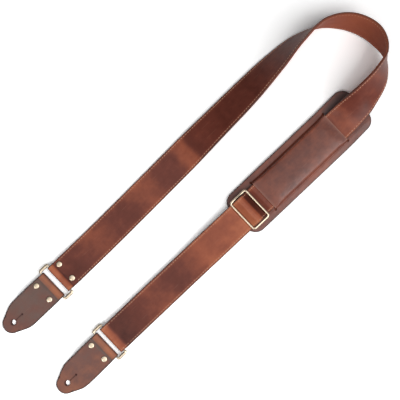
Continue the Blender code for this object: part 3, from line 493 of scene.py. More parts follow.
# %% Lines through the slider and round ring 2
UNDER_BAR = BAR_HOLLOW + FACE_SIDE
MIDDLE_HOLLOW = MIDDLE_BAR / 2 + CLEARANCE
OVER_TAIL = MIDDLE_HOLLOW + FACE + CLEARANCE + LINING_SIDE
BAR_SPACING = 0.0122
ROUND_RING = BAR_HOLLOW + LINING_SIDE
PAD_RISE = 0.0075
TAIL_RIVET_ROW = 0.041
TAIL_FLAP = TAIL_RIVET_ROW + 0.008
TAIL_START = TAIL_FLAP + 0.007
SAG_LENGTH = 0.058
RING_RISE = 0.036
SEAM_GAP = 0.0006
LOOP_GAP = 0.0008


def over_and_under():
    """From the top of the middle bar to the underside of an outer bar: two arcs and their common tangent."""
    tilt = math.asin((OVER_TAIL + UNDER_BAR) / BAR_SPACING)
    top = arc((0.0, SLIDER_HEIGHT), OVER_TAIL, math.pi / 2, math.pi / 2 - tilt)
    bottom = arc((BAR_SPACING, SLIDER_HEIGHT), UNDER_BAR, 1.5 * math.pi - tilt, 1.5 * math.pi)
    return np.concatenate((top, bottom))


def slider_line():
    """From the seam in the pad to the far outer bar, over x, with x = 0 at the middle bar."""
    floor = TUNNEL_FLOOR + LINING_SIDE
    half = over_and_under()
    rise = stations(SEAM_X - SLIDER_X - SEAM_GAP, BAR_SPACING, FINE_STEP)
    climb = ease((BAR_SPACING + PAD_RISE - rise) / PAD_RISE)
    lead = np.column_stack((rise, floor + (half[-1, 1] - floor) * climb))
    return np.concatenate((lead[:-1], half[::-1], half[1:] * (-1.0, 1.0)))


def loop_line():
    """Top run, turn round ring 2 and run back on the table, over x from the middle bar."""
    start = SLIDER_HEIGHT - UNDER_BAR
    sag_z = STRAP_THICKNESS + LOOP_GAP + LINING_SIDE
    ring_x, ring_z = RING_2_BAR[0] - SLIDER_X, RING_HEIGHT + ROUND_RING
    x = stations(-BAR_SPACING - SEAM_GAP, ring_x, RUN_STEP)
    sag = ease((-TAIL_FLAP - x) / SAG_LENGTH)
    rise = ease((ring_x + RING_RISE - x) / RING_RISE)
    top = np.column_stack((x, start + (sag_z - start) * sag + (ring_z - sag_z) * rise))
    back = stations(ring_x, -TAIL_START - SEAM_GAP, RUN_STEP)
    below = np.column_stack((back, np.full(len(back), RING_HEIGHT - ROUND_RING)))
    return np.concatenate((top, arc((ring_x, RING_HEIGHT), ROUND_RING, 0.5 * math.pi, 1.5 * math.pi)[1:-1], below))


def tail_line():
    """Inner side of the tail: up from the table, round the middle bar and back over itself."""
    bar, outer = np.array((0.0, SLIDER_HEIGHT)), np.array((-BAR_SPACING, SLIDER_HEIGHT))
    flap_drop = UNDER_BAR + LINING_SIDE + CLEARANCE + FACE
    run_drop = flap_drop + PLY_GAP
    up_tilt = math.asin((run_drop - MIDDLE_HOLLOW) / BAR_SPACING)
    down_tilt = math.asin((flap_drop + MIDDLE_HOLLOW) / BAR_SPACING)
    rivet_top, head = 0.0028, 0.0035

    def top_of_run(x):
        first = ease((x + TAIL_START) / (TAIL_START - TAIL_RIVET_ROW - head))
        second = ease((x + TAIL_RIVET_ROW - head) / 0.010)
        return FACE + (rivet_top - FACE) * first + (SLIDER_HEIGHT - run_drop - rivet_top) * second

    run = stations(-TAIL_START, -BAR_SPACING, RUN_STEP)
    flap = stations(-BAR_SPACING, -TAIL_FLAP, RUN_STEP)
    return np.concatenate((
        np.column_stack((run, top_of_run(run))),
        arc(outer, run_drop, 1.5 * math.pi, 1.5 * math.pi + up_tilt)[1:],
        arc(bar, MIDDLE_HOLLOW, -0.5 * math.pi + up_tilt, 0.5 * math.pi + down_tilt),
        arc(outer, flap_drop, 1.5 * math.pi + down_tilt, 1.5 * math.pi)[:-1],
        np.column_stack((flap, top_of_run(flap) + PLY_GAP)),
    ))


def run_way(line):
    """Even points of a line as a way whose normal is its right-hand side; across keeps to +Y."""
    line, at = even(line + (SLIDER_X, 0.0), 0.0007)
    middle, across, normal = in_plane(line, RIGHT_Y)
    return (middle, -across, -normal), at


slider_way, slider_at = run_way(slider_line())
loop_way, loop_at = run_way(loop_line())
tail_way, tail_at = run_way(tail_line())
print("slider run", slider_at[-1].round(3), "loop", loop_at[-1].round(3), "tail", tail_at[-1].round(3))

# %% [markdown]
# The slider run stays where it lies. The loop is made in four parts: one stays by the slider, one turns with ring 2,
# and the upper and lower run between them move with the slider.

# %% Slider run, loop and tail
# The slider run's stops paint shade on the slope where it climbs from under the outer bar by the pad; over the hump on
# the middle bar the leather is pulled light and carries a painted highlight.
SLIDER_TONES_AND_PAINTED_LIGHT = (
    (0.0, 0.0), (0.09, 0.0), (0.103, 0.2), (0.112, 0.0), (0.117, -0.9), (0.1245, -0.8), (0.1275, 0.6), (0.133, 1.0),
    (0.20, 0.9),
)
# The loop's stops paint light and shade as well as pull: the slope down from the slider is light, a painted highlight,
# and where the strap turns round ring 2 it is pulled light and carries a painted highlight, with bands of painted shade
# on either side.
LOOP_TONES_AND_PAINTED_LIGHT = (
    (0.0, 0.9), (0.020, 0.75), (0.040, 0.55), (0.060, 0.55), (0.080, 0.2), (0.110, -0.25), (0.135, 0.1),
    (0.155, -0.1), (0.180, -0.4), (0.196, -0.6), (0.202, -0.6), (0.208, 0.8), (0.213, 1.1), (0.2155, 1.0),
    (0.2185, -0.3), (0.226, 0.0), (0.240, 0.0), (0.50, 0.0),
)
TURN_LENGTH = 0.012
FIRST_STITCH, LAST_STITCH = 0.0021, 0.0018
slider_half = np.full(len(slider_at), HALF_WIDTH)
loop_half = fold_half_width(loop_way[0][:, 0] - RING_2_BAR[0])
tail_half = np.full(len(tail_at), HALF_WIDTH - 0.001)
slider_face = band("slider_run_face_leather", slider_way, slider_at, slider_half, SKIN, FACE_SIDE,
                   along_stops(slider_at, SLIDER_TONES_AND_PAINTED_LIGHT), groove=1)
slider_lining = band("slider_run_lining_leather", slider_way, slider_at, slider_half, -LINING_SIDE, -SKIN,
                     np.zeros(len(slider_at)), groove=-1)
tail = band("tail_leather", tail_way, tail_at, tail_half, 0.0, FACE, np.zeros(len(tail_at)), groove=0)
slider_thread = stitches("slider_run_thread", (
    (slider_way, slider_at, slider_half, FACE_SIDE - SINK, 0.090, slider_at[-1] - 0.002),
    (slider_way, slider_at, slider_half, -LINING_SIDE + SINK, 0.090, slider_at[-1] - 0.002),
))
loop_x = loop_way[0][:, 0]
before_turn, after_turn = np.flatnonzero(loop_x < RING_2_BAR[0] + TURN_LENGTH)[[0, -1]]
past_tail = np.flatnonzero(loop_x < loop_x[-1])[0]
loop_tone_and_painted_light = along_stops(loop_at, LOOP_TONES_AND_PAINTED_LIGHT)
loop_parts = {}
for part, first, last in (("loop_start", 0, past_tail), ("loop_top", past_tail, before_turn),
                          ("loop_turn", before_turn, after_turn), ("loop_back", after_turn, len(loop_x) - 1)):
    rows = slice(first, last + 1)
    part_way = [values[rows] for values in loop_way]
    ply = np.zeros(last + 1 - first)
    sewn = loop_at[first] + FIRST_STITCH, loop_at[last] - LAST_STITCH
    loop_parts[part] = (
        band(f"{part}_face_leather", part_way, loop_at[rows], loop_half[rows], SKIN, FACE_SIDE, loop_tone_and_painted_light[rows],
             groove=1, cut_ends=False),
        band(f"{part}_lining_leather", part_way, loop_at[rows], loop_half[rows], -LINING_SIDE, -SKIN, ply,
             groove=-1, cut_ends=False),
        stitches(f"{part}_thread", (
            (loop_way, loop_at, loop_half, FACE_SIDE - SINK, *sewn),
            (loop_way, loop_at, loop_half, -LINING_SIDE + SINK, *sewn),
        )),
    )

# %% [markdown]
# ## End tabs
# A tab is one leather: it is cut to a rounded point, folded round the ring's bar and riveted. The button hole, its
# slit and the small punch at the slit's end are one opening on the middle line: the two middle columns of the grid
# part by its half width, so the hole is round without any cutting. Distances to the cut edge are found from points
# set densely along the outline.

# %% End tabs
TAB_LENGTH = 0.0787
TAB = 0.0024
TAB_FOLD = 0.0016
TAB_RIVET_ROW = 0.0150
TAB_FLAP = TAB_RIVET_ROW + 0.007
TAB_SHOULDER = TAB_LENGTH - 0.0270
SHOULDER_RADIUS = 0.030
TAB_SWELL = 0.0005
TIP_RADIUS = 0.0118
HOLE_RADIUS = 0.0034
HOLE_AT = TAB_LENGTH - 0.0137
SLIT_HALF = 0.00009
PUNCH_RADIUS = 0.0009
SLANT = np.array((0.0014, -0.0013, 0.0))
PUNCH_AT = HOLE_AT - 0.0145
TAB_EDGE = 0.0009
HOLE_EDGE = 0.0004
SLANT_REACH = 0.0015
OUTLINE_POINTS = 120
HOLE_POINTS = 90
TAB_COLUMNS = np.array((0.0, 0.008, 0.02, 0.04, 0.07, 0.12, 0.2, 0.3, 0.4, 0.5, 0.6, 0.7, 0.8, 0.88, 0.93, 0.96,
                        0.98, 0.992, 1.0))


def tab_half_width(distance):
    """Half outline: parallel sides, round shoulders, tapers that swell by a squared sine, and a round tip."""
    tip = TAB_LENGTH - TIP_RADIUS
    span = math.hypot(HALF_WIDTH, tip - TAB_SHOULDER)
    taper = math.atan2(HALF_WIDTH, tip - TAB_SHOULDER) - math.asin(TIP_RADIUS / span)
    straight = HALF_WIDTH - (distance - TAB_SHOULDER) * math.tan(taper)
    bend = SHOULDER_RADIUS * math.tan(taper / 2)
    past = np.clip(distance - TAB_SHOULDER + bend, 0.0, SHOULDER_RADIUS * math.sin(taper))
    shoulder = HALF_WIDTH - SHOULDER_RADIUS + np.sqrt(SHOULDER_RADIUS**2 - past**2)
    width = np.where(distance < TAB_SHOULDER + bend * math.cos(taper), shoulder, straight)
    end = np.sqrt(np.maximum(TIP_RADIUS**2 - np.maximum(distance - tip, 0.0)**2, 0.0))
    taper_from, taper_to = TAB_SHOULDER - bend, tip + TIP_RADIUS * math.sin(taper)
    swell = np.clip((distance - taper_from) / (taper_to - taper_from), 0.0, 1.0)
    width = width + TAB_SWELL * np.sin(math.pi * swell)**2
    return np.where(swell < 1.0, width, end) - HALF_WIDTH + fold_half_width(distance)


def keyhole_half_width(distance):
    """Half width of the opening: a circle at the hole, a slit, and a small circle at its end."""
    hole = np.sqrt(np.maximum(HOLE_RADIUS**2 - (distance - HOLE_AT)**2, 0.0))
    punch = np.sqrt(np.maximum(PUNCH_RADIUS**2 - (distance - PUNCH_AT)**2, 0.0))
    slit = np.where((distance > PUNCH_AT) & (distance < HOLE_AT), SLIT_HALF, 0.0)
    return np.maximum(np.maximum(hole, punch), slit)


def nearest(points, outline):
    """Distance of each point to the nearest of many outline points."""
    gaps = points[:, :, None, :] - outline[None, None, :, :]
    return np.sqrt((gaps**2).sum(axis=-1).min(axis=-1))


def round_stations(middle, radius):
    """Distances across a circle, close together at its ends: m - r cos a."""
    return middle - radius * np.cos(np.linspace(0.0, math.pi, 25))


def end_tab(name, bar, y, warmth):
    """The folded leaf as a shell over (distance along the leather, share across each half)."""
    leaf = np.unique(np.concatenate((
        stations(FOLD_LENGTH, TAB_LENGTH - TIP_RADIUS, 0.0008),
        round_stations(HOLE_AT, HOLE_RADIUS), round_stations(PUNCH_AT, PUNCH_RADIUS),
        TAB_LENGTH - TIP_RADIUS + TIP_RADIUS * np.sin(np.linspace(0.0, math.pi / 2, 31)),
    )).round(7))
    drop = ease((leaf - TAB_FLAP) / (TAB_SHOULDER - TAB_FLAP))
    leaf_line = np.column_stack((leaf, PLY_GAP / 2 - (RING_HEIGHT + PLY_GAP / 2) * drop))
    fold = even(fold_line(TAB_FLAP), FINE_STEP)[0]
    line = np.concatenate((fold[:-1], leaf_line))
    on_leaf = np.arange(len(line)) >= len(fold) - 1
    at = lengths(line)
    at -= at[len(fold) - 1] - FOLD_LENGTH
    thick = TAB_FOLD + (TAB - TAB_FOLD) * ease(np.where(at > 0.0, line[:, 0], 0.0) / FOLD_LENGTH)
    half = np.where(on_leaf, tab_half_width(line[:, 0]), fold_half_width(np.abs(line[:, 0])))
    gap = np.where(on_leaf, keyhole_half_width(line[:, 0]), 0.0)
    right = gap[:, None] + (half - gap)[:, None] * TAB_COLUMNS
    across = np.concatenate((-right[:, ::-1], right), axis=1)
    spot = np.stack((np.broadcast_to(at[:, None], across.shape), across), axis=-1)
    dense = stations(at[0], at[-1], 0.0002)
    bow = np.linspace(0.0, math.pi / 2, OUTLINE_POINTS)
    side = np.concatenate((np.interp(dense, at, half), TIP_RADIUS * np.cos(bow)))
    dense = np.concatenate((dense, at[-1] - TIP_RADIUS * (1.0 - np.sin(bow))))
    end = np.linspace(-half[0], half[0], OUTLINE_POINTS)
    outline = np.concatenate((
        np.column_stack((dense, side)), np.column_stack((dense, -side)),
        np.column_stack((np.full(OUTLINE_POINTS, at[0]), end))))
    turn = np.linspace(0.0, 2 * math.pi, HOLE_POINTS)
    slit = np.linspace(PUNCH_AT, HOLE_AT, HOLE_POINTS)
    cut = np.concatenate((
        np.column_stack((HOLE_AT + HOLE_RADIUS * np.cos(turn), HOLE_RADIUS * np.sin(turn))),
        np.column_stack((PUNCH_AT + PUNCH_RADIUS * np.cos(turn), PUNCH_RADIUS * np.sin(turn))),
        np.column_stack((slit, np.full(HOLE_POINTS, SLIT_HALF))),
        np.column_stack((slit, np.full(HOLE_POINTS, -SLIT_HALF))),
    )) + (at[-1] - TAB_LENGTH, 0.0)
    rim, hole_rim = nearest(spot, outline), nearest(spot, cut)
    run = unit(np.gradient(line, axis=0))
    normal = np.column_stack((run[:, 1], np.zeros(len(line)), run[:, 0]))
    middle = np.column_stack((bar[0] - line[:, 0], np.full(len(line), y), RING_HEIGHT + line[:, 1]))
    lift = rounded(rim, TAB_EDGE) + rounded(hole_rim, HOLE_EDGE)
    flat = middle[:, None, :] + across[:, :, None] * (0.0, 1.0, 0.0)
    high = flat + (thick[:, None] - np.minimum(lift, thick[:, None] / 2))[:, :, None] * normal[:, None, :]
    low = flat + np.minimum(0.6 * lift, thick[:, None] / 2)[:, :, None] * normal[:, None, :]
    low += np.exp(-hole_rim / SLANT_REACH)[:, :, None] * SLANT
    # The stops along the fold paint light and shade: a painted highlight on the crest of the turn round the ring's bar,
    # painted shade on its side towards the ring's window and in the crease behind it, on leather that is pulled lighter
    # there; warmth is the tab's own colour.
    tone = along_stops(at, (
        (-0.05, 0.0), (-0.0024, -0.3), (-0.0006, 0.8), (0.0014, 1.0), (0.0034, 0.7), (0.0048, 0.6), (0.0062, -0.5),
        (0.011, warmth), (0.055, warmth), (0.070, warmth + 0.15), (0.2, 0.0),
    ))
    marks = {
        "rim": 1.0 - ease((rim - 0.0003) / 0.0014),
        "hole": np.exp(-hole_rim / 0.00035),
        "tone": np.broadcast_to(tone[:, None], across.shape),
    }
    return shell(name, high, low, marks, spot, open_columns=[len(TAB_COLUMNS) - 1])


tab_1 = end_tab("end_tab_1_leather", TAB_1_BAR, LEFT_Y, 0.0)
tab_2 = end_tab("end_tab_2_leather", TAB_2_BAR, RIGHT_Y, 0.3)

# %% [markdown]
# ## Shoulder pad
# The cover is one leather laid over the strap: flat margins and end flaps, and a raised middle that falls to the
# margin in an S-shaped ramp. At both slots it is cut across: on one side the leather rises over the strap, on the
# other it lies under it. The two grid lines at a slot part by its half width, and the round punches at its ends
# come from the same half width.

# %% Pad cover
PAD_WIDTH = 0.058
PAD_CORNER = 0.014
PAD_FLOOR = 0.0017
COVER = 0.0014
PAD_RAMP = 0.0038
RAMP_INSET = 0.0013
RAMP_OPENING = 0.016
SLOT_HALF = 0.0006
SLOT_PUNCH_RADIUS = 0.0015
SLOT_END = HALF_WIDTH + 0.0030
CROWN = 0.0014
MARGIN_DROP = 0.0006
COVER_EDGE = 0.0007
SLOT_CLEAR = 0.0019
BY_SLOT = np.array(((0.0004,), (0.0009,)))


def slot_half_width(y):
    """Half width of a slot across the pad: a slit with a round punch at each end."""
    punch = np.sqrt(np.maximum(SLOT_PUNCH_RADIUS**2 - (np.abs(y) - SLOT_END)**2, 0.0))
    return np.maximum(punch, np.where(np.abs(y) < SLOT_END, SLOT_HALF, 0.0))


def pad_half_width(x, width, start, end, corner):
    """Half outline of a rounded rectangle."""
    to_end = np.clip(np.minimum(x - start, end - x), 0.0, corner)
    return width / 2 - corner + np.sqrt(corner**2 - (corner - to_end)**2)


def corner_stations(start, end, corner, step):
    """Distances along a rounded rectangle, close together at its ends."""
    turn = corner * (1.0 - np.cos(np.linspace(0.0, math.pi / 2, 25)))
    return np.concatenate((start + turn[:-1], stations(start + corner, end - corner, step), end - turn[:-1][::-1]))


def pad_columns():
    """Places across one half of the pad: the top, the ramp, the slots' ends, the margin and the rounded edge."""
    fine = SLOT_END + SLOT_PUNCH_RADIUS * np.sin(np.linspace(-math.pi / 2, math.pi / 2, 17))
    edge = PAD_WIDTH / 2 - np.array((0.0020, 0.0014, 0.0010, 0.0007, 0.00045, 0.00025, 0.0001, 0.0))
    top = stations(0.0, HALF_WIDTH - 0.001, 0.0015)
    ramp = stations(HALF_WIDTH - 0.001, PAD_WIDTH / 2 - 0.002, 0.0004)
    half = np.unique(np.concatenate((top, ramp, fine, edge)).round(7))
    return np.concatenate((-half[:0:-1], half))


def pad_cover(name):
    """Height over (x, y): the roof over the strap times 1 - ease(ramp), the ramp opening out from each slot."""
    columns = pad_columns()
    x = corner_stations(PAD_START, PAD_END, PAD_CORNER, 0.0015)
    half = pad_half_width(x, PAD_WIDTH, PAD_START, PAD_END, PAD_CORNER)
    y = columns[None, :] * (half / (PAD_WIDTH / 2))[:, None]
    grid_x = np.broadcast_to(x[:, None], y.shape)
    straight = columns[None, :]
    twice = np.repeat(straight, 2, axis=0)
    part = slot_half_width(straight)
    first = x < NEAR_SLOT - SLOT_CLEAR
    inner = (x > NEAR_SLOT + SLOT_CLEAR) & (x < FAR_SLOT - SLOT_CLEAR)
    last = x > FAR_SLOT + SLOT_CLEAR
    blocks = (
        (grid_x[first], y[first], 0.0),
        (NEAR_SLOT - part, straight, 0.0),
        (NEAR_SLOT + part, straight, 1.0),
        (NEAR_SLOT + part + BY_SLOT, twice, 1.0),
        (grid_x[inner], y[inner], 1.0),
        (FAR_SLOT - part - BY_SLOT[::-1], twice, 1.0),
        (FAR_SLOT - part, straight, 1.0),
        (FAR_SLOT + part, straight, 0.0),
        (grid_x[last], y[last], 0.0),
    )
    gx, gy = (np.concatenate([block[k] for block in blocks]) for k in (0, 1))
    up = np.concatenate([np.full(block[0].shape, block[2]) for block in blocks])
    from_slot = np.clip(np.minimum(gx - NEAR_SLOT, FAR_SLOT - gx), 0.0, None)
    crest = HALF_WIDTH + CLEARANCE
    slot_foot = SLOT_END + SLOT_PUNCH_RADIUS - RAMP_INSET
    foot = slot_foot + (crest + PAD_RAMP - slot_foot) * ease(from_slot / RAMP_OPENING)

    def height(reach):
        share = (np.abs(gy) - crest - reach) / (foot - crest)
        crown = CROWN * (1.0 - np.clip(np.abs(gy) / crest, 0.0, 1.0)**3) * ease(from_slot / RAMP_OPENING)
        return up * ((TUNNEL_ROOF - PAD_FLOOR) * (1.0 - ease(share)) + crown)

    rim = np.minimum(PAD_WIDTH, nearest(np.stack((gx, gy), axis=-1), pad_outline()))
    drop = MARGIN_DROP * np.clip((-gy - foot) / (PAD_WIDTH / 2 - foot), 0.0, 1.0)
    top = PAD_FLOOR + COVER + height(-RAMP_INSET * ease(from_slot / RAMP_OPENING)) - rounded(rim, COVER_EDGE) - drop
    bottom = PAD_FLOOR + height(0.0)
    above = np.stack((gx, RIGHT_Y + gy, top), axis=-1)
    below = np.stack((gx, RIGHT_Y + gy, np.minimum(bottom, top - 0.0003)), axis=-1)
    slot_rim = np.minimum(np.abs(gx - NEAR_SLOT), np.abs(gx - FAR_SLOT))
    slot_rim += np.where(np.abs(gy) < SLOT_END + SLOT_PUNCH_RADIUS, 0.0, 1.0)
    side = np.abs(gy) - crest
    # The tone lightens a band along the crest and the margins between the slots; on the far flap beside the strap's
    # upper edge it darkens the leather as painted shadow of the raised strap.
    marks = {
        "rim": 1.0 - ease((rim - 0.0003) / 0.0012),
        "hole": np.exp(-np.clip(slot_rim - SLOT_HALF, 0.0, None) / 0.0005) * (np.abs(gy) < HALF_WIDTH + 0.0008),
        "tone": (0.12 * np.exp(-((side + 0.001) / 0.0025)**2) + 0.22 * ease(side / 0.005) * ease(from_slot / 0.03)) * up
        - np.where((gx > FAR_SLOT) & (gy > 0.0), 1.2 * (1.0 - ease((gy - HALF_WIDTH) / 0.009)), 0.0) * (1.0 - up),
    }
    uv = np.stack((gx, gy), axis=-1)
    return shell(name, above, below, marks, uv, open_rows=(first.sum(), len(gx) - last.sum() - 2))


def pad_outline():
    """Dense points round the pad's edge, in x and distance across."""
    x = corner_stations(PAD_START, PAD_END, PAD_CORNER, FINE_STEP)
    half = pad_half_width(x, PAD_WIDTH, PAD_START, PAD_END, PAD_CORNER)
    ends = np.linspace(-1.0, 1.0, OUTLINE_POINTS) * half[0]
    return np.concatenate((
        np.column_stack((x, half)), np.column_stack((x, -half)),
        *(np.column_stack((np.full(OUTLINE_POINTS, end), ends)) for end in (PAD_START, PAD_END))))


cover = pad_cover("pad_cover_leather")

# %% [markdown]
# The base is a flat leather of the same outline, and the foam lies on it under the strap. Both are rounded slabs.

# %% Pad base and foam


def rounded_slab(name, start, end, width, corner, low, high, edge):
    """Sheet with a rounded-rectangle outline and a rounded upper and lower edge."""
    x = corner_stations(start, end, corner, 0.004)
    share = -np.cos(np.linspace(0.0, math.pi, 41))
    half = pad_half_width(x, width, start, end, corner)
    y = half[:, None] * share
    gx = np.broadcast_to(x[:, None], y.shape)
    rim = np.minimum(half[:, None] - np.abs(y), np.minimum(gx - start, end - gx))
    drop = rounded(rim, edge)
    high_points = np.stack((gx, RIGHT_Y + y, high - drop), axis=-1)
    low_points = np.stack((gx, RIGHT_Y + y, low + drop * 0.5), axis=-1)
    marks = {"rim": np.exp(-rim / 0.0004), "tone": np.full(y.shape, -0.9)}
    return shell(name, high_points, low_points, marks, np.stack((gx, y), axis=-1))


base = rounded_slab("pad_base_leather", PAD_START, PAD_END, PAD_WIDTH, PAD_CORNER, 0.0, PAD_FLOOR - SKIN, 0.0005)
foam = rounded_slab("pad_foam_core", NEAR_SLOT + 0.0024, FAR_SLOT - 0.0024, STRAP_WIDTH + 0.002, 0.0020,
                    PAD_FLOOR + SKIN, PAD_FLOOR + 0.0030, 0.0008)

# %% [markdown]
# ## Brass fittings
# Rings and slider are bent from wire, flattened where it is thick: a circle or oval carried round a rectangle with
# rounded corners. Rivets are turned: a profile spun about an upright axis.

# %% Wire rings and slider
WIRE_SIDES = 20
RING_SPACING = RING_1_BAR[0] - TAB_1_BAR[0]
RING_WIDTH = 0.0440
SLIDER_WIDTH = 0.0416
RING_END = 0.0040
SLIDER_WIRE = 0.0028
RING_CORNER = 0.0020
SLIDER_CORNER = 0.0030
WIRE_HEIGHT = 0.0026


def wire_loop(x, y, z, length, width, wire, ends, corner):
    """A closed wire rectangle: corner centre + (corner radius + r cos a) outwards, r sin a up; r grows to the ends."""
    turn = np.concatenate([stations(k * math.pi / 2, (k + 1) * math.pi / 2, math.radians(6.0)) for k in range(4)])
    sign_x = np.repeat((1.0, -1.0, -1.0, 1.0), len(turn) // 4)
    sign_y = np.repeat((1.0, 1.0, -1.0, -1.0), len(turn) // 4)
    around = np.arange(WIRE_SIDES) * 2.0 * math.pi / WIRE_SIDES
    radius = (wire / 2 + (ends - wire) / 2 * ease(np.abs(np.sin(turn)) * 1.6))[:, None]
    reach = corner + radius * np.cos(around)
    points = np.stack((
        (x + sign_x * (length / 2 - corner))[:, None] + np.cos(turn)[:, None] * reach,
        (y + sign_y * (width / 2 - corner))[:, None] + np.sin(turn)[:, None] * reach,
        z + np.minimum(radius, WIRE_HEIGHT / 2) * np.sin(around),
    ), axis=-1)
    # This mark sets the wire's underside and its lower and inner flanks to dark olive: painted shade, laid on like
    # patina.
    patina = np.broadcast_to(ease((0.75 - np.sin(around) - 0.35 * np.cos(around)) / 0.7), points.shape[:2])
    return *tube(points, ring=True), {"patina": patina.ravel()}


def cross_bar(x, y, z, width, radius):
    """A round bar across the slider, whose ends swell where they are cast into the side wires."""
    at = np.linspace(-1.0, 1.0, 41)
    flare = radius * (1.0 + 0.25 * ease((np.abs(at) - 0.93) / 0.07))
    flare[[0, -1]] = 0.0
    around = np.arange(WIRE_SIDES) * 2.0 * math.pi / WIRE_SIDES
    points = np.stack((
        x + flare[:, None] * np.cos(around),
        np.broadcast_to((y + at * width / 2)[:, None], (len(at), WIRE_SIDES)),
        z + flare[:, None] * np.sin(around),
    ), axis=-1)
    return tube(points)


ring_1, ring_2 = (
    make_piece(name, *wire_loop(
        bar[0] - RING_SPACING / 2, bar[1], RING_HEIGHT, RING_SPACING, RING_WIDTH, WIRE, RING_END, RING_CORNER))
    for name, bar in (("ring_1_wire", RING_1_BAR), ("ring_2_wire", RING_2_BAR)))
# The middle bar takes the same dark mark all over.
points, faces, marks = wire_loop(
    SLIDER_X, RIGHT_Y, SLIDER_HEIGHT, 2 * BAR_SPACING, SLIDER_WIDTH, SLIDER_WIRE, SLIDER_WIRE, SLIDER_CORNER)
bar_points, bar_faces = cross_bar(SLIDER_X, RIGHT_Y, SLIDER_HEIGHT, SLIDER_WIDTH, MIDDLE_BAR / 2)
slider = make_piece(
    "slider_wire", np.concatenate((points, bar_points)), np.concatenate((faces, bar_faces + len(points))),
    {"patina": np.concatenate((marks["patina"], np.ones(len(bar_points))))})

# %% Rivets
ROUND_SIDES = 40
HEAD = 0.0035
POST = 0.0013
RIVET_SPACING = STRAP_WIDTH - 2 * 0.0078


def turned(name, profile, x, y):
    """A profile of (radius, height) spun about an upright axis; radius 0 at both ends closes it."""
    profile = np.array(profile)
    angle = np.arange(ROUND_SIDES) * 2.0 * math.pi / ROUND_SIDES
    points = np.stack((
        x + profile[:, :1] * np.cos(angle),
        y + profile[:, :1] * np.sin(angle),
        np.broadcast_to(profile[:, 1:], (len(profile), ROUND_SIDES)),
    ), axis=-1)
    # The head's outer edge is darkened: patina where it meets the leather, and painted shade round the edge of the
    # dome.
    patina = np.repeat(ease((profile[:, 0] / HEAD - 0.86) / 0.14), ROUND_SIDES)
    return make_piece(name, *tube(points), {"patina": patina})


def rivet(name, x, y, under, over):
    """Cap with a low rim, a dome and a post; base with a dished foot."""
    seat, foot = over + 0.00008, under - 0.00008
    bow = np.linspace(0.0, math.pi / 2, 10)
    dome = np.column_stack((HEAD * np.cos(bow), seat + 0.0005 + 0.0006 * np.sin(bow)))[::-1]
    cap = [*dome, (HEAD + SKIN, seat + 0.0002), (HEAD - 0.0001, seat), (POST, seat), (POST, foot - 0.0004),
           (0.0, foot - 0.0004)]
    base = [(0.0, foot - 0.0007), (POST + 0.0003, foot - 0.0007), (POST + 0.0003, foot), (HEAD, foot),
            (HEAD, foot - 0.0005), (HEAD - 0.0001, foot - 0.0008), (HEAD - 0.0005, foot - 0.0010), (0.0, foot - 0.0009)]
    return turned(name + "_cap_brass", cap, x, y), turned(name + "_base_brass", base, x, y)


TAB_UNDER, TAB_OVER = RING_HEIGHT - PLY_GAP / 2 - TAB_FOLD, RING_HEIGHT + PLY_GAP / 2 + TAB
RIVET_ROWS = {
    "strap_end": ("strap", RING_1_BAR[0] + END_RIVET_ROW + 0.0012, LEFT_Y + 0.0014,
                  RING_HEIGHT - FACE_SIDE, RING_HEIGHT + FACE_SIDE),
    "end_tab_1": ("tab_1", TAB_1_BAR[0] - TAB_RIVET_ROW + 0.0012, LEFT_Y + 0.0013, TAB_UNDER, TAB_OVER),
    "end_tab_2": ("tab_2", TAB_2_BAR[0] - TAB_RIVET_ROW + 0.0028, RIGHT_Y + 0.0010, TAB_UNDER, TAB_OVER),
    "tail": ("slider", SLIDER_X - TAIL_RIVET_ROW, RIGHT_Y, 0.0013, 0.0046),
}
rivets = []
for row, (body, x, y, under, over) in RIVET_ROWS.items():
    for side, offset in (("left", RIVET_SPACING / 2), ("right", -RIVET_SPACING / 2)):
        cap_piece, base_piece = rivet(f"{row}_{side}_rivet", x, y + offset, under, over)
        rivets += [(cap_piece, f"{row}_{side}_rivet_cap", body), (base_piece, f"{row}_{side}_rivet_base", body)]

# %% [markdown]
# ## Shader maths in Python
# A small class wraps a socket so that an expression such as mask * 0.5 adds Math nodes, and one method adds any
# other node.

# %% Sockets as values


class Value:
    """A socket that takes part in arithmetic: each operator adds one Math node."""

    def __init__(self, finish, socket):
        self.finish, self.socket = finish, socket

    def math(self, operation, other):
        return self.finish.node("ShaderNodeMath", {"operation": operation}, {0: self, 1: other})

    def __add__(self, other):
        return self.math("ADD", other)

    def __sub__(self, other):
        return self.math("SUBTRACT", other)

    def __mul__(self, other):
        return self.math("MULTIPLY", other)

    def __gt__(self, other):
        return self.math("GREATER_THAN", other)

    def power(self, other):
        return self.math("POWER", other)


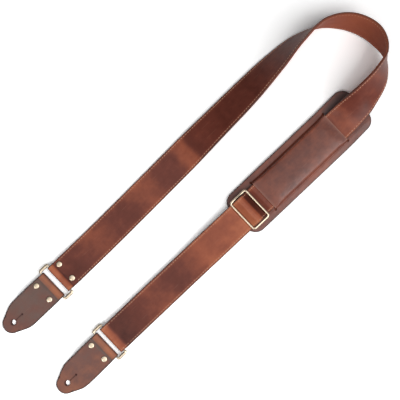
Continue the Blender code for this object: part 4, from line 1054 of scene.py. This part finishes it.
class Finish:
    """A material being made: a Principled shader and the nodes that feed it."""

    def __init__(self, name):
        self.material = bpy.data.materials.new(name)
        self.material.use_nodes = True
        self.tree = self.material.node_tree
        self.shader = self.tree.nodes["Principled BSDF"]

    def node(self, kind, settings=None, sockets=None, output=0):
        """One node: its settings first (a ramp's stops among them), then the values or links of its sockets."""
        made = self.tree.nodes.new(kind)
        for setting, value in (settings or {}).items():
            if setting == "stops":
                ramp = made.color_ramp
                for extra in range(len(value) - len(ramp.elements)):
                    ramp.elements.new(0.5)
                for element, (place, colour) in zip(ramp.elements, value):
                    element.position, element.color = place, (*colour, 1.0)
            else:
                setattr(made, setting, value)
        for socket, value in (sockets or {}).items():
            self.feed(made.inputs[socket], value)
        return Value(self, made.outputs[output])

    def feed(self, socket, value):
        if isinstance(value, Value):
            self.tree.links.new(value.socket, socket)
        else:
            socket.default_value = value

    def set(self, **sockets):
        """Values or links of the Principled shader's own sockets."""
        for name, value in sockets.items():
            self.feed(self.shader.inputs[name.replace("_", " ").title()], value)

    def mark(self, name):
        return self.node("ShaderNodeAttribute", {"attribute_name": name}, output="Fac")

    def along(self):
        return self.node("ShaderNodeUVMap", {"uv_map": "leather"})

    def place(self):
        return self.node("ShaderNodeTexCoord", output="Object")

    def noise(self, where, scale, detail=3.0, rough=0.55, stretch=None):
        if stretch is not None:
            where = self.node("ShaderNodeMapping", None, {"Vector": where, "Scale": stretch})
        return self.node("ShaderNodeTexNoise", None, {
            "Vector": where, "Scale": scale, "Detail": detail, "Roughness": rough})

    def mix(self, factor, first, second):
        made = self.node("ShaderNodeMix", {"data_type": "RGBA"}, output=2)
        for socket, value in ((0, factor), (6, first), (7, second)):
            value = (*value, 1.0) if isinstance(value, tuple) else value
            self.feed(made.socket.node.inputs[socket], value)
        return made

    def ramp(self, factor, stops):
        return self.node("ShaderNodeValToRGB", {"stops": stops}, {"Fac": factor})

    def bump(self, height, distance, strength=1.0, below=None):
        sockets = {"Height": height, "Distance": distance, "Strength": strength}
        if below is not None:
            sockets["Normal"] = below
        return self.node("ShaderNodeBump", None, sockets)


# %% [markdown]
# ## Oiled leather
# Pull-up leather is soaked with oil and wax. Its colour comes in soft clouds a few centimetres wide, it turns
# orange where it is bent, shows fine scuffs along the strap, and its cut edges are painted dark. Its tone mark
# also carries painted highlights and painted shade. The grain is far finer than the strap, so it is a bump.

# %% Leather finishes
DARK = (0.062, 0.013, 0.008)
BROWN = (0.155, 0.038, 0.024)
PULLED = (0.330, 0.088, 0.044)
ORANGE = (0.500, 0.155, 0.070)
EDGE = (0.050, 0.024, 0.018)
PAINT = (0.030, 0.014, 0.012)


def leather(name, stops, paint, clouds=0.55, roughness=0.37, grain=1.0, shine=0.25, cut=None):
    """Clouds of noise plus the piece's own tone, painted highlights and painted shade among it, choose a colour; the
    rim mark turns it to the colour of the edge.
    """
    finish = Finish(name)
    where = finish.along()
    cloud = finish.noise(where, 24.0, 3.0)
    patch = finish.noise(where, 85.0, 4.0, 0.6)
    fibre = finish.noise(where, 260.0, 3.0, 0.6, (0.35, 1.4, 1.0))
    tone = finish.mark("tone") * 0.42 + (cloud - 0.5) * clouds + (patch - 0.5) * 0.40 + (fibre - 0.5) * 0.12 + 0.42
    colour = finish.ramp(tone, stops)
    scuff = finish.noise(where, 210.0, 2.0, 0.5, (0.16, 2.6, 1.0))
    scuffed = (scuff > 0.69) * 0.16
    colour = finish.mix(scuffed, colour, (0.33, 0.15, 0.10))
    rim = finish.mark("rim")
    colour = finish.mix(rim.power(0.8) * 0.92, colour, paint)
    if cut is not None:
        colour = finish.mix(finish.mark("hole").power(0.8) * 0.9, colour, cut)
    pore = finish.node("ShaderNodeTexVoronoi", {"feature": "DISTANCE_TO_EDGE"}, {"Vector": where, "Scale": 900.0})
    fine = finish.noise(where, 1500.0, 2.0)
    # Wrinkles gather where the tone is light: on pulled leather and under its painted highlights.
    pulled_and_highlit = finish.mark("tone").math("MAXIMUM", 0.0)
    wrinkle = finish.noise(where, 190.0, 2.0, 0.5, (1.0, 0.28, 1.0))
    wave = finish.noise(where, 130.0, 3.0) + wrinkle * pulled_and_highlit * 1.6
    first = finish.bump(pore.math("MINIMUM", 0.25) * 0.6 + fine * 0.35, 0.00012, 0.55 * grain)
    normal = finish.bump(wave, 0.0007, 0.35, first)
    rough = (cloud - 0.5) * 0.22 + (fine - 0.5) * 0.16 + roughness + rim * 0.1
    finish.set(base_color=colour, roughness=rough, normal=normal)
    finish.shader.inputs["Specular IOR Level"].default_value = shine
    return finish.material


face_leather = leather("oiled_leather", ((0.0, DARK), (0.36, BROWN), (0.72, PULLED), (1.0, ORANGE)), EDGE)
lining_leather = leather("lining_leather", (
    (0.0, (0.120, 0.028, 0.013)), (0.40, (0.290, 0.069, 0.033)), (0.75, (0.370, 0.100, 0.048)),
    (1.0, (0.42, 0.13, 0.065)),
), (0.110, 0.036, 0.022), clouds=0.35, roughness=0.62, shine=0.22)
tab_leather = leather("tab_leather", (
    (0.0, (0.085, 0.048, 0.036)), (0.36, (0.150, 0.082, 0.065)), (0.52, (0.178, 0.068, 0.049)),
    (0.78, (0.34, 0.115, 0.055)), (1.0, (0.46, 0.15, 0.062)),
), (0.032, 0.019, 0.016), clouds=0.32, roughness=0.52, shine=0.5, cut=(0.050, 0.012, 0.010))
# On the pad the cut colour lightens the lips of the slots: a light raw cut with a painted highlight along the raised
# edge.
cover_leather = leather("pad_leather", (
    (0.0, DARK), (0.36, (0.125, 0.034, 0.022)), (0.72, PULLED), (1.0, ORANGE),
), PAINT, clouds=0.30, roughness=0.34, grain=0.8, shine=0.5, cut=(0.34, 0.150, 0.100))

# %% Thread, brass and foam


def thread_finish():
    """Waxed linen thread: tan, with the twist of its strands as a bump."""
    finish = Finish("tan_thread")
    where = finish.place()
    tint = finish.noise(where, 300.0)
    colour = finish.ramp(tint, ((0.3, (0.48, 0.25, 0.15)), (0.7, (0.68, 0.42, 0.28))))
    strand = finish.node("ShaderNodeTexWave", {"bands_direction": "DIAGONAL"}, {
        "Vector": where, "Scale": 900.0, "Distortion": 1.0})
    finish.set(base_color=colour, roughness=0.7, normal=finish.bump(strand, 0.00008, 0.6))
    return finish.material


def brass_finish():
    """Pale polished brass with faint tarnish clouds and hairline polishing marks."""
    finish = Finish("pale_brass")
    where = finish.place()
    cloud = finish.noise(where, 220.0, 4.0, 0.6)
    colour = finish.ramp(cloud, ((0.25, (0.70, 0.55, 0.38)), (0.55, (0.85, 0.71, 0.54)), (0.85, (0.92, 0.82, 0.67))))
    # The mark turns the brass dark olive: painted shade on the wires' lower and inner flanks and round the rivets'
    # heads, with patina where the heads meet the leather.
    patina = finish.mark("patina")
    colour = finish.mix(patina * 0.9, colour, (0.13, 0.095, 0.04))
    hair = finish.noise(where, 900.0, 2.0, 0.5, (1.0, 0.12, 1.0))
    rough = (cloud - 0.5) * 0.16 + (hair - 0.5) * 0.12 + patina * 0.15 + 0.38
    finish.set(base_color=colour, metallic=1.0, roughness=rough, normal=finish.bump(hair, 0.00003, 0.35))
    return finish.material


def foam_finish():
    """Dense grey foam: small cells as bump and speckle."""
    finish = Finish("grey_foam")
    where = finish.place()
    cells = finish.node("ShaderNodeTexVoronoi", None, {"Vector": where, "Scale": 1400.0})
    colour = finish.ramp(cells, ((0.1, (0.05, 0.05, 0.055)), (0.7, (0.10, 0.10, 0.105))))
    finish.set(base_color=colour, roughness=0.95, normal=finish.bump(cells, 0.0002, 0.6))
    return finish.material


thread, brass, foam_grey = thread_finish(), brass_finish(), foam_finish()

# %% [markdown]
# ## Dress the frame
# Every piece takes its material and hides the solid it stands for; most also move with that solid's body.

# %% Materials, bodies and replaced solids


def dress(piece, material, node=None):
    """One material; the solid that the piece stands for is hidden."""
    piece.data.materials.append(material)
    if node:
        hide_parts(node)


for piece, material, slot, node, body in (
    (strap_face, face_leather, "oiled_leather", "strap_face", "strap"),
    (strap_lining, lining_leather, "lining_leather", "strap_lining", "strap"),
    (strap_thread, thread, "oiled_leather", None, "strap"),
    (tail, face_leather, "oiled_leather", "tail_fold", "slider"),
    (tab_1, tab_leather, "tab_leather", "end_tab_1", "tab_1"),
    (tab_2, tab_leather, "tab_leather", "end_tab_2", "tab_2"),
    (cover, cover_leather, "oiled_leather", "pad_cover", "pad"),
    (base, lining_leather, "lining_leather", "pad_base", "pad"),
    (foam, foam_grey, "foam", "pad_foam", "pad"),
    (ring_1, brass, "antique_brass", "ring_1", "ring_1"),
    (ring_2, brass, "antique_brass", "ring_2", "ring_2"),
    (slider, brass, "antique_brass", "slider_frame", "slider"),
    *((piece, brass, "antique_brass", node, body) for piece, node, body in rivets),
):
    dress(piece, material, node)
    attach(piece, body)

for piece, material, slot, node in (
    (slider_face, face_leather, "oiled_leather", "slider_strap_face"),
    (slider_lining, lining_leather, "lining_leather", "slider_strap_lining"),
    (slider_thread, thread, "oiled_leather", None),
):
    dress(piece, material, node)
    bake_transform(piece)

RING_TRAVEL = joints["ring_2_travel"]["range_m"][1]
GATHERED = {"loop_top": (loop_x[past_tail], loop_x[before_turn]), "loop_back": (loop_x[-1], loop_x[after_turn])}
for part, (part_face, part_lining, part_thread) in loop_parts.items():
    dress(part_face, face_leather, "loop_face")
    dress(part_lining, lining_leather, "loop_lining")
    dress(part_thread, thread)
    for piece in (part_face, part_lining, part_thread):
        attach(piece, "ring_2_loop" if part == "loop_turn" else "slider")
        if part in GATHERED:
            near, far = GATHERED[part]
            1.0 - RING_TRAVEL / (near - far)
            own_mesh(piece)

# %% [markdown]
# ## Table, light and camera
# The table is white for the camera and for reflections, and still takes the shadows. A wide key light stands at
# the lower right of the picture and a smaller one at the lower left; a soft ceiling and the sky fill the rest. The
# camera looks straight down from a metre.

# %% Table
CAMERA_OVER = (-0.0051, 0.0022)
IMAGE_UP = (0.6878, 0.7259)
TABLE_HALF, TABLE_DROP = 4.0, 0.0003


def table_finish():
    """White for mirrors and glass and brighter than white for the camera; other rays meet a greyer white. The camera's
    white is a painted glow, strongest towards -x, that washes out the shadows there.
    """
    finish = Finish("white_table")
    path = finish.node("ShaderNodeLightPath")
    glossy, through_glass = (
        Value(finish, path.socket.node.outputs[kind]) for kind in ("Is Glossy Ray", "Is Transmission Ray"))
    along = finish.node("ShaderNodeSeparateXYZ", None, {0: finish.place()})
    # Painted light: for the camera the table is brighter than white, most towards -x, and the shadows there fade.
    painted_glow = finish.ramp(along * 4.0 + 0.5, ((0.3, (1.75, 1.75, 1.75)), (0.7, (1.3, 1.3, 1.3))))
    colour = finish.mix(glossy.math("MAXIMUM", through_glass), (0.80, 0.80, 0.80), (1.0, 1.0, 1.0))
    colour = finish.mix(path, colour, painted_glow)
    finish.set(base_color=colour, roughness=1.0)
    finish.shader.inputs["Specular IOR Level"].default_value = 0.0
    return finish.material


corners = TABLE_HALF * np.array(((-1.0, -1.0), (1.0, -1.0), (1.0, 1.0), (-1.0, 1.0)))
table = make_piece("table", np.column_stack((corners, np.full(4, -TABLE_DROP))), np.array(((0, 1, 2, 3),)))
table.data.materials.append(table_finish())

# %% Light and camera
world = bpy.data.worlds.new("studio")
world.use_nodes = True
world.node_tree.nodes["Background"].inputs["Color"].default_value = (1.0, 1.0, 1.0, 1.0)
world.node_tree.nodes["Background"].inputs["Strength"].default_value = 0.10
bpy.context.scene.world = world
centre = np.array((*CAMERA_OVER, 0.0))


def soft_light(name, place, size, watts):
    """A rectangular area light at a place, turned to the middle of the picture."""
    lamp = bpy.data.lights.new(name, "AREA")
    lamp.shape, (lamp.size, lamp.size_y), lamp.energy = "RECTANGLE", size, watts
    light = bpy.data.objects.new(name, lamp)
    bpy.context.scene.collection.objects.link(light)
    light.location = centre + place
    light.rotation_euler = Vector(-place).to_track_quat("-Z", "Y").to_euler()


soft_light("ceiling", np.array((0.0, -0.2, 1.7)), (1.6, 1.6), 8.0)
soft_light("key", np.array((0.52, -1.38, 1.64)), (1.8, 1.8), 37.0)
soft_light("side", np.array((-1.55, -0.1, 1.55)), (1.0, 0.6), 10.0)

camera_data = bpy.data.cameras.new("camera")
camera_data.lens, camera_data.sensor_width = 75.0, 36.0
camera = bpy.data.objects.new("camera", camera_data)
bpy.context.scene.collection.objects.link(camera)
camera.location = (*CAMERA_OVER, 1.0)
camera.rotation_euler = (0.0, 0.0, math.atan2(IMAGE_UP[1], IMAGE_UP[0]) - math.pi / 2)
bpy.context.scene.camera = camera
bpy.context.scene.view_settings.view_transform = "Standard"
